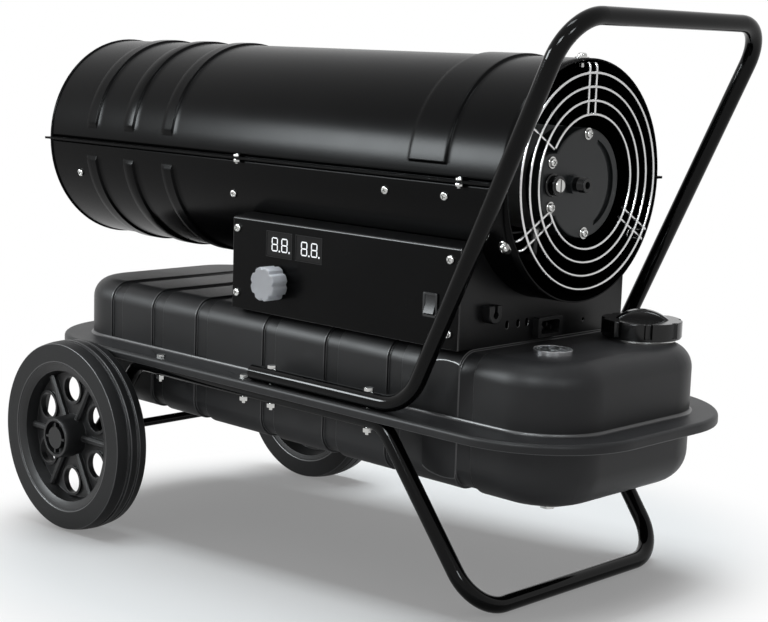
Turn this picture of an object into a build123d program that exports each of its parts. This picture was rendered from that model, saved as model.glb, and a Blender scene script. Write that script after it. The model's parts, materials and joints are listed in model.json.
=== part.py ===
"""Forced air heater on two wheels: a burner barrel over a flanged fuel tank, carried by two bent tubes.

Everything is drawn in the heater's own level frame: X runs along the barrel towards the fan inlet and the
handle, -Y is the control side, Z is up, and the wheels touch Z = 0. The tubes that carry the heater hold it
with its nose a little up, so at the end every piece is turned by that lean and set on the floor.
"""

import os
from math import asin, atan2, cos, degrees, hypot, radians, sin, sqrt

from build123d import *

# Barrel: two half shells of sheet steel
BARREL_R = 141.0
BARREL_T = 1.5
BARREL_Z = 521.0
OUTLET_X = -427.0
INLET_X = 433.0
SEAM_OUT = 10.5
SEAM_T = 1.5
SEAM_SCREW_X = (-12.0, 367.0)
SEAM_SCREW_Y = BARREL_R + SEAM_OUT / 2
SEAM_HOLE_X = -387.0
BEAD_X = (-329.0, -246.0, -162.0)
BEAD_W = 24.0
BEAD_H = 3.0
BEAD_END_DEG = 11.0
BAND_X = (283.0, 341.0)
BAND_H = 3.0
BAND_END_DEG = 8.0
CURL_R = 2.2
HOSE_SLOTS = ((2.0, 42.0), (296.0, 328.0))
HOSE_SLOT_W = 52.0
SCREW_R = 2.4
GUARD_SCREW_R = 2.6
SMALL_HEAD = (5.4, 3.4)
SMALL_LEN = 6.0
SEAM_HEAD = (4.6, 3.6)
SEAM_LEN = 9.0
SEAM_NUT = (7.5, 4.0)
GUARD_HEAD = (5.6, 4.6)
GUARD_LEN = 12.0
WASHER_R = 8.5
WASHER_T = 1.4
DRILL_LEN = 8.0

# Burner: chamber, shield, cone and the parts on the chamber's back plate
CHAMBER_R = 104.0
CHAMBER_X = (-392.0, -42.0)
SHIELD_R = 124.0
SHIELD_X = (-330.0, -70.0)
CONE_R = 78.0
CONE_X = -384.0
HOT_T = 1.2
BURNER_R = 34.0
BURNER_LEN = 34.0
AIR_HOLE_R = 7.0
AIR_HOLE_BACK = 70.0
AIR_HOLE_DEG = 36
CHAMBER_TAB_HALF = 9.0
CHAMBER_TAB_RISE = 8.0
CONE_DEPTH = 46.0
CONE_DROP = 34.0
CONE_DISC_R = 24.0
CONE_DISC_T = 3.0
CONE_ARM_HALF = 6.0
SHIELD_FOOT = (20.0, 40.0)
SHIELD_FOOT_HALF = 8.0
HEAD_RIM = 12.0
HEAD_T = 4.0
STEM_R = 15.0
NOZZLE_R = 6.0
NOZZLE_BACK = 8.0
SWIRL_SLOT = (20.0, 30.0)
SWIRL_SLOT_HALF = 1.5
EYE_OFFSET = 26.0
SPARK_R = 3.2
CELL_R = 4.2
CELL_CAN_R = 6.5
CHAMBER_SCREW = ((-364.0, -46.0), (-32.0, -48.0))

# Motor, fan and air pump on one shaft
SHAFT_R = 5.0
FIT = 0.05
SHAFT_X = (118.0, 391.0)
MOTOR_R = 52.0
MOTOR_X = (196.0, 300.0)
FAN_X = 146.0
FAN_R = 127.0
FAN_HUB_R = 30.0
FAN_BLADES = 6
PUMP_R = 62.0
PUMP_X = (326.0, 395.0)
PUMP_BORE_R = 32.0
PUMP_OFFSET = 2.5
ROTOR_R = 28.0
ROTOR_W = 18.0
ROTOR_GAP = 0.5
VANE_INNER_R = 11.0
VANE_HALF = 2.0
VANE_OUT = 0.6
MOTOR_END = 9.0
MOTOR_STEP = 8.0
MOTOR_END_R = 4.0
MOTOR_FOOT_IN = 14.0
MOTOR_FOOT_HALF = (9.0, 34.0)
BLADE_ROOT = (30.0, 2.2, 52.0)
BLADE_TIP = (64.0, 1.6, 64.0)
HUB_HALF = 14.0
PUMP_NECK_R = 30.0
PUMP_NECK = 16.0
ELBOW_R = 5.0
ELBOW_LEN = 14.0
MOON_R = 54.0
MOON_SHIFT = 9.0
MOON_DEPTH = 4.0
COVER_EDGE_R = 2.5
TAB_T = 17.0
PLUG_SINK = 9.0
PLUG_SLOT = (2.5, 1.1)
PORT_NUT = (3.5, 6.0)
COVER_R = 64.0
COVER_X = (395.0, 431.0)
COVER_SINK = 2.0
TAB_REACH = 79.0
TAB_H = 72.0
TAB_R = 15.0
PUMP_SCREWS = ((1.5, 57.0), (-62.5, 25.5), (-62.5, -25.5), (1.5, -58.0))
PLUG_Y = -61.0
PLUG_R = 8.0
SLEEVE_R = 11.5
SLEEVE_LEN = 11.0
PORT_Y = -23.5
PORT_R = 8.4
PORT_LEN = 22.0
PORT_BORE_R = 4.3
BRACKET_X = (206.0, 352.0)
BRACKET_Z = -66.0
BRACKET_SCREW = ((246.0, -20.0), (340.0, -19.0))
BRACKET_LINE = ((-137.4, -8.0), (-134.0, -30.0), (-58.0, BRACKET_Z))
BRACKET_T = 2.0
BRACKET_SLOT = ((300.0, 326.0), 24.0)

# Wire guard over the inlet
GUARD_X = 438.0
WIRE_R = 1.5
RING_R = (77.7, 93.3, 109.0, 124.8)
RING_GAP_DEG = (149.0, 206.0)
PAIR_DEG = (90.0, 210.0, 330.0)
PAIR_HALF = 6.5
GUARD_SCREW_X = 418.0
HOOK_BACK = 8.0

# Control box between the tank and the barrel
BOX_X = (-7.0, 381.0)
BOX_Y = 154.0
BOX_Z = 330.0
BOX_TOP = 447.0
SHEET = 1.5
COVER_FOLD_R = 2.8
LEDGE_Y = 124.5
LEDGE_RISE = 5.0
COVER_SCREWS = ((2.0, 433.0), (2.0, 350.0), (366.0, 433.0), (366.0, 348.0))
WINDOW_X = (79.5, 133.0)
WINDOW_Z = 419.0
WINDOW_SIZE = (46.0, 31.0)
KNOB_X = 77.5
KNOB_Z = 371.5
KNOB_R = 21.5
KNOB_DEPTH = 24.0
KNOB_LOBES = 8
SWITCH_X = 338.0
SWITCH_Z = 378.0
SWITCH_SIZE = (22.0, 28.0)
ROCKER_SIZE = (15.0, 21.0)
ROCKER_DEG = 9.0
ROCKER_PIN_R = 1.5
CLAMP_Y = -103.0
CLAMP_Z = 368.5
CLAMP_LEN = 12.0
CLAMP_R = 10.5
CORD_R = 4.5
INLET_Y = 2.0
INLET_SIZE = (46.0, 24.0)
GLAND_Y = (-68.5, -48.5, -32.0)
GLAND_Z = 352.5
GLAND_SLOT = (9.0, 5.4)
EARTH_HOLE = (76.5, 345.6)
EARTH_HOLE_R = 2.0
LEAD_HOLE = (-60.0, 352.0)
LEAD_HOLE_R = 9.0
EAR_LEN = (18.0, 30.0)
EAR_HALF = 9.0
SWITCH_BODY = (19.0, 25.0)
SWITCH_DEPTH = 22.0
BOARD_X = (30.0, 190.0)
BOARD_Y = (-138.0, -136.4)
BOARD_TOP = 400.0
BOARD_FOOT_X = (36.0, 184.0)
RELAY = ((52.0, 76.0), (BOARD_Y[1], -112.0), (360.0, 384.0))
COIL_ON_BOARD = ((120.0, 150.0), (BOARD_Y[1], -118.0), (342.0, 366.0))
DISPLAY_X = (56.0, 162.0)
DISPLAY_Z = (405.0, 436.0)
DISPLAY_BACK = 9.0
DISPLAY_T = 1.6
WINDOW_GAP = 0.3
POT_R = 9.0
POT_NOSE_R = 4.9
KNOB_HOLE_R = 5.0
KNOB_SHAFT_R = 3.0
KNOB_LOBE_R = 5.5
KNOB_EDGE_R = 1.6
KNOB_WALL = 5.0
KNOB_HUB_R = 6.0
KNOB_MARK = (1.8, 10.0, 0.8)
IGNITION_X = (150.0, 222.0)
IGNITION_Y = (78.0, 128.0)
IGNITION_H = 58.0
IGNITION_PORT_Y = (92.0, 114.0)
CAN_X = (40.0, 108.0)
CAN_Y = 104.0
CAN_R = 17.0
CAN_FOOT = ((62.0, 86.0), (96.0, 112.0), 8.0)
INLET_RIM = 9.0
INLET_DEPTH = 22.0
PIN_PLACES = ((-8.0, -2.0), (0.0, 2.0), (8.0, -2.0))
PIN_HALF = (1.0, 2.5)

# Fuel tank: two pressed halves with a wide flange
TANK_X = (-360.0, 529.0)
TANK_HALF = 152.0
TANK_CORNER = 80.0
TANK_TOP = 330.0
TANK_SEAM = 248.5
TANK_BOTTOM = 166.0
SUMP_BOTTOM = 163.0
SUMP_X = 405.0
TANK_EDGE = 28.0
SUMP_EDGE = 40.0
TANK_T = 2.0
FLANGE_X = (-405.0, 566.0)
FLANGE_HALF = 197.0
FLANGE_CORNER = 135.0
LIP_BOTTOM = 238.5
LIP_EDGE = 5.0
GROOVE_X = (-253.0, -163.0, -71.0, 62.0, 175.0, 282.0, 393.0)
GROOVE_W = 24.0
GROOVE_D = 3.5
DENT_X = 362.0
DENT_R = 130.0
DENT_D = 4.0
NECK_XY = (451.5, 100.0)
NECK_R = 34.0
NECK_TOP = 346.0
CAP_R = 48.5
CAP_Z = (333.0, 354.0)
CAP_NOTCHES = 8
CAP_NOTCH_R = 5.5
GRIP_SIZE = (66.0, 15.0)
GRIP_TOP = 365.5
GAUGE_XY = (448.0, -66.0)
GAUGE_R = 22.5
FLOAT_ARM = 112.0
FLOAT_PIVOT_Z = 300.0
FLOAT_DEG = 28.0
FLOAT_R = 15.0
PICKUP_XY = (300.0, 70.0)
PICKUP_R = 4.0
PICKUP_BORE_R = 2.6
PICKUP_Z = 172.0
NECK_T = 2.0
NECK_FLANGE = 8.0
MESH_T = 1.2
MESH_Z = 262.0
DRAIN_HOLE_R = 8.0
DRAIN_WASHER_R = 15.0
DRAIN_HEAD = (9.0, 6.0)
FLOAT_ROD_R = 1.6
FLOAT_PIN_R = 1.5
FLOAT_LEN = 26.0
DRAIN_XY = (450.0, -64.0)
DRAIN_DISH = (28.0, 7.0)

# Frame: two bent tubes, axle and wheels
TUBE_R = 10.0
TUBE_T = 1.5
TUBE_Y = 184.0
HANDLE_Z = TANK_SEAM + TANK_T + TUBE_R
HANDLE_START_X = 70.0
HANDLE_KNEE_X = 334.0
HANDLE_TOP = (543.5, 707.0)
HANDLE_KNEE_R = 62.0
HANDLE_TOP_R = 52.0
RUN_Z = TANK_SEAM - TANK_T - TUBE_R
RUN_X = (-160.0, 297.0)
STAND_FOOT = (443.0, 44.0)
STAND_FOOT_Y = 176.0
STAND_KNEE_R = 36.0
STAND_FOOT_R = 52.0
AXLE_BEND_R = 38.0
BOLT_X_FRONT = (-113.5, 54.0)
BOLT_X_HANDLE = (105.0, 273.0)
BOLT_R = 3.0
AXLE_X = -247.0
AXLE_Z = 127.0
AXLE_R = 6.0
WHEEL_R = 130.5
WHEEL_FACE_R = 127.5
WHEEL_Y = 250.0
WHEEL_W = 48.0
TREAD_GROOVES = (19.0, 34.0)
RIM_R = 101.0
RIM_LIP_R = 95.0
WEB_R = 88.0
WEB_Y = 228.0
WEB_T = 5.0
HUB_R = 28.0
HUB_Y = (203.0, 259.0)
HUB_CUP_R = 22.0
HUB_CUP_DEPTH = 9.0
CAP_BOSS_R = 15.0
CAP_FIN_HALF = 1.5
SPACER_R = 12.0
SPOKES = 6
SPOKE_W = 9.0
SPOKE_RISE = 8.0
HOLE_PITCH_R = 64.0
HOLE_R = 17.5
HOLE_RING_W = 3.5

nodes = {}


# ---- Helpers ----

def along_x(sketch, x0, x1):
    """Extrude a sketch drawn in (Y, Z) from x0 to x1."""
    return extrude(Plane.YZ.offset(x0) * sketch, amount=x1 - x0)


def along_y(sketch, y0, y1):
    """Extrude a sketch drawn in (X, Z) from y0 to y1."""
    return extrude(Plane.XZ.offset(-y1) * sketch, amount=y1 - y0)


def along_z(sketch, z0, z1):
    """Extrude a sketch drawn in (X, Y) from z0 to z1."""
    return extrude(Plane.XY.offset(z0) * sketch, amount=z1 - z0)


def block(x, y, z):
    """A box between the two corners given as (low, high) pairs."""
    middle = Pos((x[0] + x[1]) / 2, (y[0] + y[1]) / 2, (z[0] + z[1]) / 2)
    return middle * Box(x[1] - x[0], y[1] - y[0], z[1] - z[0])


def ring(outer, inner):
    return Circle(outer) - Circle(inner)


def tube_along(points, radii, outer, inner):
    """A tube of the given radii bent along straight runs."""
    path = FilletPolyline(*points, radius=list(radii))
    section = Plane(origin=path @ 0, z_dir=path % 0) * ring(outer, inner)
    return sweep(section, path=path)


def hose_along(points, radii, outer):
    path = FilletPolyline(*points, radius=list(radii))
    section = Plane(origin=path @ 0, z_dir=path % 0) * Circle(outer)
    return sweep(section, path=path)


def pan_screw(radius, head_h, shank_r, length):
    """A screw whose head stands on Z = 0 and whose shank goes down."""
    head = along_z(Circle(radius), 0, head_h)
    head = chamfer(head.edges().group_by(Axis.Z)[-1], head_h / 3)
    return head + along_z(Circle(shank_r), -length, 0)


def hex_bolt(across, head_h, shank_r, length):
    head = along_z(RegularPolygon(across / 2, 6, major_radius=False), 0, head_h)
    return head + along_z(Circle(shank_r), -length, 0)


def hex_nut(across, height, shank_r):
    return along_z(RegularPolygon(across / 2, 6, major_radius=False) - Circle(shank_r), -height, 0)


# ---- Barrel ----

def bump(x_mid, width, rise, base, foot):
    """The section of a pressed bead, drawn as (x, radius)."""
    arc = ThreePointArc((x_mid - width / 2, base), (x_mid, base + rise), (x_mid + width / 2, base))
    sides = Polyline((x_mid + width / 2, base), (x_mid + width / 2, foot), (x_mid - width / 2, foot),
                     (x_mid - width / 2, base))
    return make_face(arc + sides)


def plateau(x0, x1, rise, base, foot):
    """The section of a flat raised band with sloping edges, drawn as (x, radius)."""
    slope = rise
    return make_face(Polyline((x0, foot), (x0, base), (x0 + slope, base + rise), (x1 - slope, base + rise),
                              (x1, base), (x1, foot), close=True))


def part_turn(section, end_deg):
    """Turn an (x, radius) section round the barrel over the upper half, stopping short of the seams."""
    return revolve(Rot(end_deg, 0, 0) * section, axis=Axis.X, revolution_arc=180 - 2 * end_deg)


def half_shell(with_band):
    wall = ring(BARREL_R, BARREL_R - BARREL_T) & (Pos(0, BARREL_R) * Rectangle(3 * BARREL_R, 2 * BARREL_R))
    lip_w = SEAM_OUT + BARREL_T / 2
    for side in (-1, 1):
        wall += Pos(side * (BARREL_R + SEAM_OUT - lip_w / 2), SEAM_T / 2) * Rectangle(lip_w, SEAM_T)
    shell = along_x(wall, OUTLET_X, INLET_X)
    curl = Pos(OUTLET_X + CURL_R, BARREL_R) * Circle(CURL_R)
    shell += part_turn(curl, 0)
    wall_deg = degrees(BARREL_T / BARREL_R)
    low = BARREL_R - BARREL_T
    for x in BEAD_X:
        shell += part_turn(bump(x, BEAD_W, BEAD_H, BARREL_R, low), BEAD_END_DEG)
        shell -= part_turn(bump(x, BEAD_W - BARREL_T, BEAD_H, low, low - BARREL_T), BEAD_END_DEG + wall_deg)
    if with_band:
        x0, x1 = BAND_X
        shell += part_turn(plateau(x0, x1, BAND_H, BARREL_R, low), BAND_END_DEG)
        inner = plateau(x0 + BARREL_T, x1 - BARREL_T, BAND_H, low, low - BARREL_T)
        shell -= part_turn(inner, BAND_END_DEG + wall_deg)
    return shell


def radial_spot(x, z, side, radius):
    """A location on a cylinder round the barrel's axis, its Z axis pointing outwards."""
    y = side * sqrt(radius ** 2 - z ** 2)
    return Plane(origin=(x, y, z), z_dir=(0, y, z)).location


def casing_spots(side):
    for x, z in CHAMBER_SCREW + BRACKET_SCREW:
        yield Pos(0, 0, BARREL_Z) * radial_spot(x, z, side, BARREL_R)


def guard_spots():
    for deg in PAIR_DEG:
        y, z = cos(radians(deg)), sin(radians(deg))
        plane = Plane(origin=(GUARD_SCREW_X, BARREL_R * y, BARREL_R * z), z_dir=(0, y, z))
        yield Pos(0, 0, BARREL_Z) * plane.location


def barrel():
    drill = Part()
    for side in (-1, 1):
        for x in SEAM_SCREW_X + (SEAM_HOLE_X,):
            drill += Pos(x, side * SEAM_SCREW_Y, BARREL_Z) * Cylinder(SCREW_R, DRILL_LEN)
        for spot in casing_spots(side):
            drill += spot * Cylinder(SCREW_R, DRILL_LEN)
    for spot in guard_spots():
        drill += spot * Cylinder(GUARD_SCREW_R, DRILL_LEN)
    upper = Pos(0, 0, BARREL_Z) * half_shell(True) - drill
    lower = Pos(0, 0, BARREL_Z) * (Rot(180, 0, 0) * half_shell(False)) - drill
    for x0, x1 in HOSE_SLOTS:
        slot = (-HOSE_SLOT_W / 2, HOSE_SLOT_W / 2)
        lower -= block((x0, x1), slot, (BARREL_Z - BARREL_R - 5, BARREL_Z - 120))
    nodes["upper_shell"] = upper
    nodes["lower_shell"] = lower

    screws = []
    for side in (-1, 1):
        for x in SEAM_SCREW_X:
            spot = Pos(x, side * SEAM_SCREW_Y, BARREL_Z)
            screws.append(spot * Pos(0, 0, SEAM_T) * pan_screw(*SEAM_HEAD, SCREW_R, SEAM_LEN))
            screws.append(spot * Pos(0, 0, -SEAM_T) * hex_nut(*SEAM_NUT, SCREW_R))
    nodes["seam_screws"] = Compound(screws)

    screws = []
    for side in (-1, 1):
        for spot in casing_spots(side):
            screws.append(spot * pan_screw(*SMALL_HEAD, SCREW_R, SMALL_LEN))
        for x, z in COVER_SCREWS:
            face = Plane(origin=(x, side * BOX_Y, z), z_dir=(0, side, 0)).location
            screws.append(face * pan_screw(*SMALL_HEAD, SCREW_R, SMALL_LEN))
    nodes["casing_screws"] = Compound(screws)

    screws = []
    for spot in guard_spots():
        bolt = spot * Pos(0, 0, WASHER_T) * pan_screw(*GUARD_HEAD, GUARD_SCREW_R, GUARD_LEN)
        washer = spot * along_z(ring(WASHER_R, GUARD_SCREW_R), 0, WASHER_T)
        screws += [bolt, washer]
    nodes["guard_screws"] = Compound(screws)


# ---- Burner ----

def tabs(x, z, inner_r):
    """Two sheet tabs that hold a round part inside the shells at the screws."""
    out = Part()
    for side in (-1, 1):
        y = sqrt((BARREL_R - BARREL_T) ** 2 - z ** 2) - 0.4
        near = sqrt(inner_r ** 2 - z ** 2) - 0.6
        width = (x - CHAMBER_TAB_HALF, x + CHAMBER_TAB_HALF)
        out += block(width, sorted((side * near, side * y)), (z - HOT_T, z + HOT_T))
    return out


def burner():
    x0, x1 = CHAMBER_X
    chamber = Pos(x0, 0, 0) * along_x(ring(CHAMBER_R, CHAMBER_R - HOT_T), 0, x1 - x0)
    chamber += along_x(Circle(CHAMBER_R) - Circle(BURNER_R), x1 - HOT_T, x1)
    for angle in range(0, 360, AIR_HOLE_DEG):
        chamber -= Rot(angle, 0, 0) * Pos(x1 - AIR_HOLE_BACK, 0, CHAMBER_R) * Cylinder(AIR_HOLE_R, 20)
    for x, z in CHAMBER_SCREW:
        if x0 + 10 < x < x1:
            chamber += tabs(x, z + CHAMBER_TAB_RISE, CHAMBER_R)
    nodes["combustion_chamber"] = Pos(0, 0, BARREL_Z) * chamber

    tip_x, tip_r = CONE_X + CONE_DEPTH, CONE_R - CONE_DROP
    profile = Polyline((CONE_X, CHAMBER_R - HOT_T), (CONE_X, CONE_R), (tip_x, tip_r), (tip_x, tip_r - 2),
                       (CONE_X - HOT_T, CONE_R - 1), (CONE_X - HOT_T, CHAMBER_R - HOT_T), close=True)
    cone = revolve(make_face(profile), axis=Axis.X)
    disc = (tip_x - CONE_DISC_T + 1, tip_x + 1)
    for angle in range(0, 360, 120):
        cone += Rot(angle, 0, 0) * block(disc, (-CONE_ARM_HALF, CONE_ARM_HALF), (0, tip_r + 1))
    cone += along_x(Circle(CONE_DISC_R), *disc)
    nodes["flame_cone"] = Pos(0, 0, BARREL_Z) * cone

    x0, x1 = SHIELD_X
    shield = along_x(ring(SHIELD_R, SHIELD_R - HOT_T), x0, x1)
    for angle in (45, 135, 225, 315):
        foot = block((x0 + SHIELD_FOOT[0], x0 + SHIELD_FOOT[1]), (-SHIELD_FOOT_HALF, SHIELD_FOOT_HALF),
                     (CHAMBER_R - 0.2, SHIELD_R - 0.5))
        shield += Rot(angle, 0, 0) * foot
    shield -= along_x(Circle(CHAMBER_R), x0, x1)
    nodes["heat_shield"] = Pos(0, 0, BARREL_Z) * shield

    back = CHAMBER_X[1]
    front = back + HEAD_T
    head = along_x(Circle(BURNER_R), back - HOT_T, front) + along_x(Circle(BURNER_R + HEAD_RIM), back, front)
    head += along_x(Circle(STEM_R), front, back + BURNER_LEN)
    head -= along_x(Circle(NOZZLE_R), back - 20, back + BURNER_LEN - NOZZLE_BACK)
    for angle in range(0, 360, 45):
        slot = block((back - 5, front + 4), SWIRL_SLOT, (-SWIRL_SLOT_HALF, SWIRL_SLOT_HALF))
        head -= Rot(angle, 0, 0) * slot
    head -= Pos(back, 0, EYE_OFFSET) * Rot(0, 90, 0) * Cylinder(SPARK_R, 30)
    head -= Pos(back, 0, -EYE_OFFSET) * Rot(0, 90, 0) * Cylinder(CELL_R, 30)
    nodes["burner_head"] = Pos(0, 0, BARREL_Z) * head

    nozzle = along_x(Circle(NOZZLE_R), back - 12, back + BURNER_LEN - NOZZLE_BACK)
    nozzle += along_x(RegularPolygon(7.5, 6), back - 10, back - HOT_T - 1)
    nozzle -= along_x(Circle(1), back - 13, back + BURNER_LEN - 12)
    nodes["fuel_nozzle"] = Pos(0, 0, BARREL_Z) * nozzle

    spark = along_x(Circle(SPARK_R), back - 16, back + 24)
    wire = [(back - 16, 0, EYE_OFFSET), (back - 26, 0, EYE_OFFSET), (back - 30, 0, 14)]
    tip = tube_along(wire, [4], 0.9, 0.3)
    nodes["spark_electrode"] = Pos(0, 0, BARREL_Z) * (Pos(0, 0, EYE_OFFSET) * spark + tip)

    cell = along_x(Circle(CELL_R), back - 2, back + 18) + along_x(Circle(CELL_CAN_R), back + 18, back + 30)
    nodes["photocell"] = Pos(0, 0, BARREL_Z - EYE_OFFSET) * cell


# ---- Motor, fan and pump ----

def motor_group():
    x0, x1 = MOTOR_X
    motor = along_x(Circle(MOTOR_R), x0, x1)
    motor += along_x(Circle(MOTOR_R - MOTOR_STEP), x0 - MOTOR_END, x1 + MOTOR_END)
    motor = fillet(motor.edges().filter_by(GeomType.CIRCLE).group_by(Axis.X)[0], MOTOR_END_R)
    motor = fillet(motor.edges().filter_by(GeomType.CIRCLE).group_by(Axis.X)[-1], MOTOR_END_R)
    foot_x, foot_y = MOTOR_FOOT_HALF
    for x in (x0 + MOTOR_FOOT_IN, x1 - MOTOR_FOOT_IN):
        motor += block((x - foot_x, x + foot_x), (-foot_y, foot_y), (BRACKET_Z + BRACKET_T, -30))
    motor -= along_x(Circle(SHAFT_R + FIT), x0 - 20, x1 + 20)
    nodes["motor"] = Pos(0, 0, BARREL_Z) * motor

    nodes["motor_shaft"] = Pos(0, 0, BARREL_Z) * along_x(Circle(SHAFT_R), *SHAFT_X)

    blade_low = Plane(origin=(0, 0, FAN_HUB_R - 4), x_dir=(1, 0, 0), z_dir=(0, 0, 1))
    blade_high = Plane(origin=(0, 0, FAN_R), x_dir=(1, 0, 0), z_dir=(0, 0, 1))
    sections = []
    for plane, (chord, thick, twist) in ((blade_low, BLADE_ROOT), (blade_high, BLADE_TIP)):
        sections.append(plane * Rot(0, 0, twist) * Rectangle(chord, thick))
    blade = loft(sections)
    fan = along_x(Circle(FAN_HUB_R), -HUB_HALF, HUB_HALF)
    for i in range(FAN_BLADES):
        fan += Rot(i * 360 / FAN_BLADES, 0, 0) * blade
    fan &= along_x(ring(FAN_R, SHAFT_R), -30, 30)
    nodes["fan"] = Pos(FAN_X, 0, BARREL_Z) * fan

    x0, x1 = PUMP_X
    step = x0 + PUMP_NECK
    pump = along_x(Circle(PUMP_R), step, x1) + along_x(Circle(PUMP_NECK_R), MOTOR_X[1] + MOTOR_END, step)
    pump -= along_x(Pos(PUMP_OFFSET, 0) * Circle(PUMP_BORE_R), x1 - ROTOR_W - 1, x1)
    pump -= along_x(Circle(SHAFT_R + FIT), MOTOR_X[1], x1)
    pump += Pos((x0 + x1) / 2, 0, -PUMP_R - 5) * Cylinder(ELBOW_R, ELBOW_LEN)
    nodes["pump_body"] = Pos(0, 0, BARREL_Z) * pump

    width = (x1 - ROTOR_W - ROTOR_GAP, x1 - ROTOR_GAP)
    rotor = along_x(ring(ROTOR_R, SHAFT_R), *width)
    sweep_r = ROTOR_R + VANE_OUT
    vanes = []
    for angle in range(0, 360, 90):
        slot = Rot(angle, 0, 0) * block(width, (VANE_INNER_R, ROTOR_R + 1), (-VANE_HALF, VANE_HALF))
        rotor -= slot
        vanes.append(Pos(0, 0, BARREL_Z) * (slot & along_x(Circle(sweep_r), *width)))
    nodes["pump_rotor"] = Compound([Pos(0, 0, BARREL_Z) * rotor] + vanes)

    x0, x1 = COVER_X
    mid = BARREL_Z - COVER_SINK
    tab = Pos(-TAB_REACH / 2, 0) * RectangleRounded(TAB_REACH, TAB_H, TAB_R)
    cover = along_x(Circle(COVER_R), x0, x1) + along_x(tab, x1 - TAB_T, x1)
    cover = fillet(cover.edges().group_by(Axis.X)[-1], COVER_EDGE_R)
    moon = Circle(MOON_R) - Pos(-MOON_SHIFT, 0) * Circle(MOON_R - 1) - Pos(-40, 0) * Rectangle(120, 120)
    cover -= along_x(moon, x1 - MOON_DEPTH, x1)
    cover += along_x(Pos(PLUG_Y, 0) * Circle(SLEEVE_R), x1 - 1, x1 + SLEEVE_LEN)
    cover -= along_x(Pos(PLUG_Y, 0) * Circle(PLUG_R + FIT), x1 - PLUG_SINK, x1 + SLEEVE_LEN)
    cover += along_x(Pos(PORT_Y, 0) * Circle(PORT_R), x1 - 1, x1 + PORT_LEN)
    nut_out, nut_len = PORT_NUT
    cover += along_x(Pos(PORT_Y, 0) * RegularPolygon(PORT_R + nut_out, 6), x1 - 1, x1 + nut_len)
    cover -= along_x(Pos(PORT_Y, 0) * Circle(PORT_BORE_R), x1 + 4, x1 + PORT_LEN)
    for y, z in PUMP_SCREWS:
        cover -= Pos(x1 - 6, y, z) * Rot(0, 90, 0) * Cylinder(SCREW_R, 12)
    nodes["pump_end_cover"] = Pos(0, 0, mid) * cover

    screws = []
    for y, z in PUMP_SCREWS:
        face = Plane(origin=(x1, y, mid + z), z_dir=(1, 0, 0)).location
        screws.append(face * pan_screw(*GUARD_HEAD, SCREW_R, GUARD_LEN - 0.1))
    nodes["pump_screws"] = Compound(screws)

    slot_depth, slot_half = PLUG_SLOT
    end = x1 + SLEEVE_LEN + slot_depth
    plug = along_x(Circle(PLUG_R), x1 - PLUG_SINK + 0.3, end)
    plug = chamfer(plug.edges().group_by(Axis.X)[-1], 1)
    plug -= block((end - slot_depth, end + 1), (-slot_half, slot_half), (-PLUG_R, PLUG_R))
    nodes["pressure_plug"] = Pos(0, PLUG_Y, mid) * plug


def bracket():
    """A sheet tray across the lower shell that carries the motor."""
    line = Polyline(*BRACKET_LINE, *[(-y, z) for y, z in reversed(BRACKET_LINE)])
    tray = along_x(trace(line, BRACKET_T), *BRACKET_X)
    tray &= along_x(Circle(BARREL_R - BARREL_T - 0.05), *BRACKET_X)
    for side in (-1, 1):
        for x, zz in BRACKET_SCREW:
            tray -= radial_spot(x, zz, side, BARREL_R) * Cylinder(SCREW_R, 16)
    slot_x, slot_y = BRACKET_SLOT
    tray -= block(slot_x, (-slot_y, slot_y), (BRACKET_Z - 5, BRACKET_Z + 5))
    nodes["motor_bracket"] = Pos(0, 0, BARREL_Z) * tray


def guard():
    """The wires of the welded guard: four rings, three doubled struts hooked round the screws, one strut."""
    rings = [Pos(GUARD_X, 0, 0) * Rot(0, 90, 0) * Torus(radius, WIRE_R) for radius in RING_R[1:]]
    start, stop = RING_GAP_DEG
    inner = revolve(Rot(stop, 0, 0) * (Pos(0, RING_R[0]) * Circle(WIRE_R)), axis=Axis.X,
                    revolution_arc=360 - stop + start)
    rings.append(Pos(GUARD_X, 0, 0) * inner)
    back = GUARD_X - 2 * WIRE_R
    hook_r = BARREL_R - BARREL_T - 2 * WIRE_R
    hook_x = GUARD_SCREW_X - HOOK_BACK
    tip_r = RING_R[0] - WIRE_R
    hooks = []
    for deg in PAIR_DEG:
        leg = [(back, tip_r), (back, hook_r), (hook_x, hook_r)]
        path = [(x, -PAIR_HALF, z) for x, z in leg] + [(x, PAIR_HALF, z) for x, z in reversed(leg)]
        hook = hose_along(path, [6, 5, 5, 6], WIRE_R)
        hooks.append(Rot(deg - 90, 0, 0) * hook)
    reach = RING_R[3] - tip_r + WIRE_R
    single = Rot(start - 90, 0, 0) * Pos(back, 0, tip_r + reach / 2) * Cylinder(WIRE_R, reach)
    nodes["fan_guard"] = Compound([Pos(0, 0, BARREL_Z) * wire for wire in rings + hooks + [single]])


def hoses():
    port = (PUMP_X[0] + PUMP_X[1]) / 2
    low = BOX_Z + 24
    rear, front = BARREL_Z - PUMP_R - 12, CHAMBER_X[1] + BURNER_LEN
    air = hose_along([(port, 0, rear), (port, 0, rear - 22), (315, 12, 420), (312, 16, low), (24, 16, low),
                      (24, 16, BARREL_Z - 60), (24, 7, BARREL_Z - 7), (front, 7, BARREL_Z - 7)],
                     [9, 14, 14, 14, 14, 12], 4)
    nodes["air_line"] = air
    run = low + 8
    fuel = hose_along([(*PICKUP_XY, BOX_Z + 18), (*PICKUP_XY, run), (240, -10, run), (14, -10, run),
                       (14, -12, BARREL_Z - 60), (14, -7, BARREL_Z - 7), (front, -7, BARREL_Z - 7)],
                      [6, 24, 14, 14, 12], 3)
    nodes["fuel_line"] = fuel


# ---- Control box ----

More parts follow.
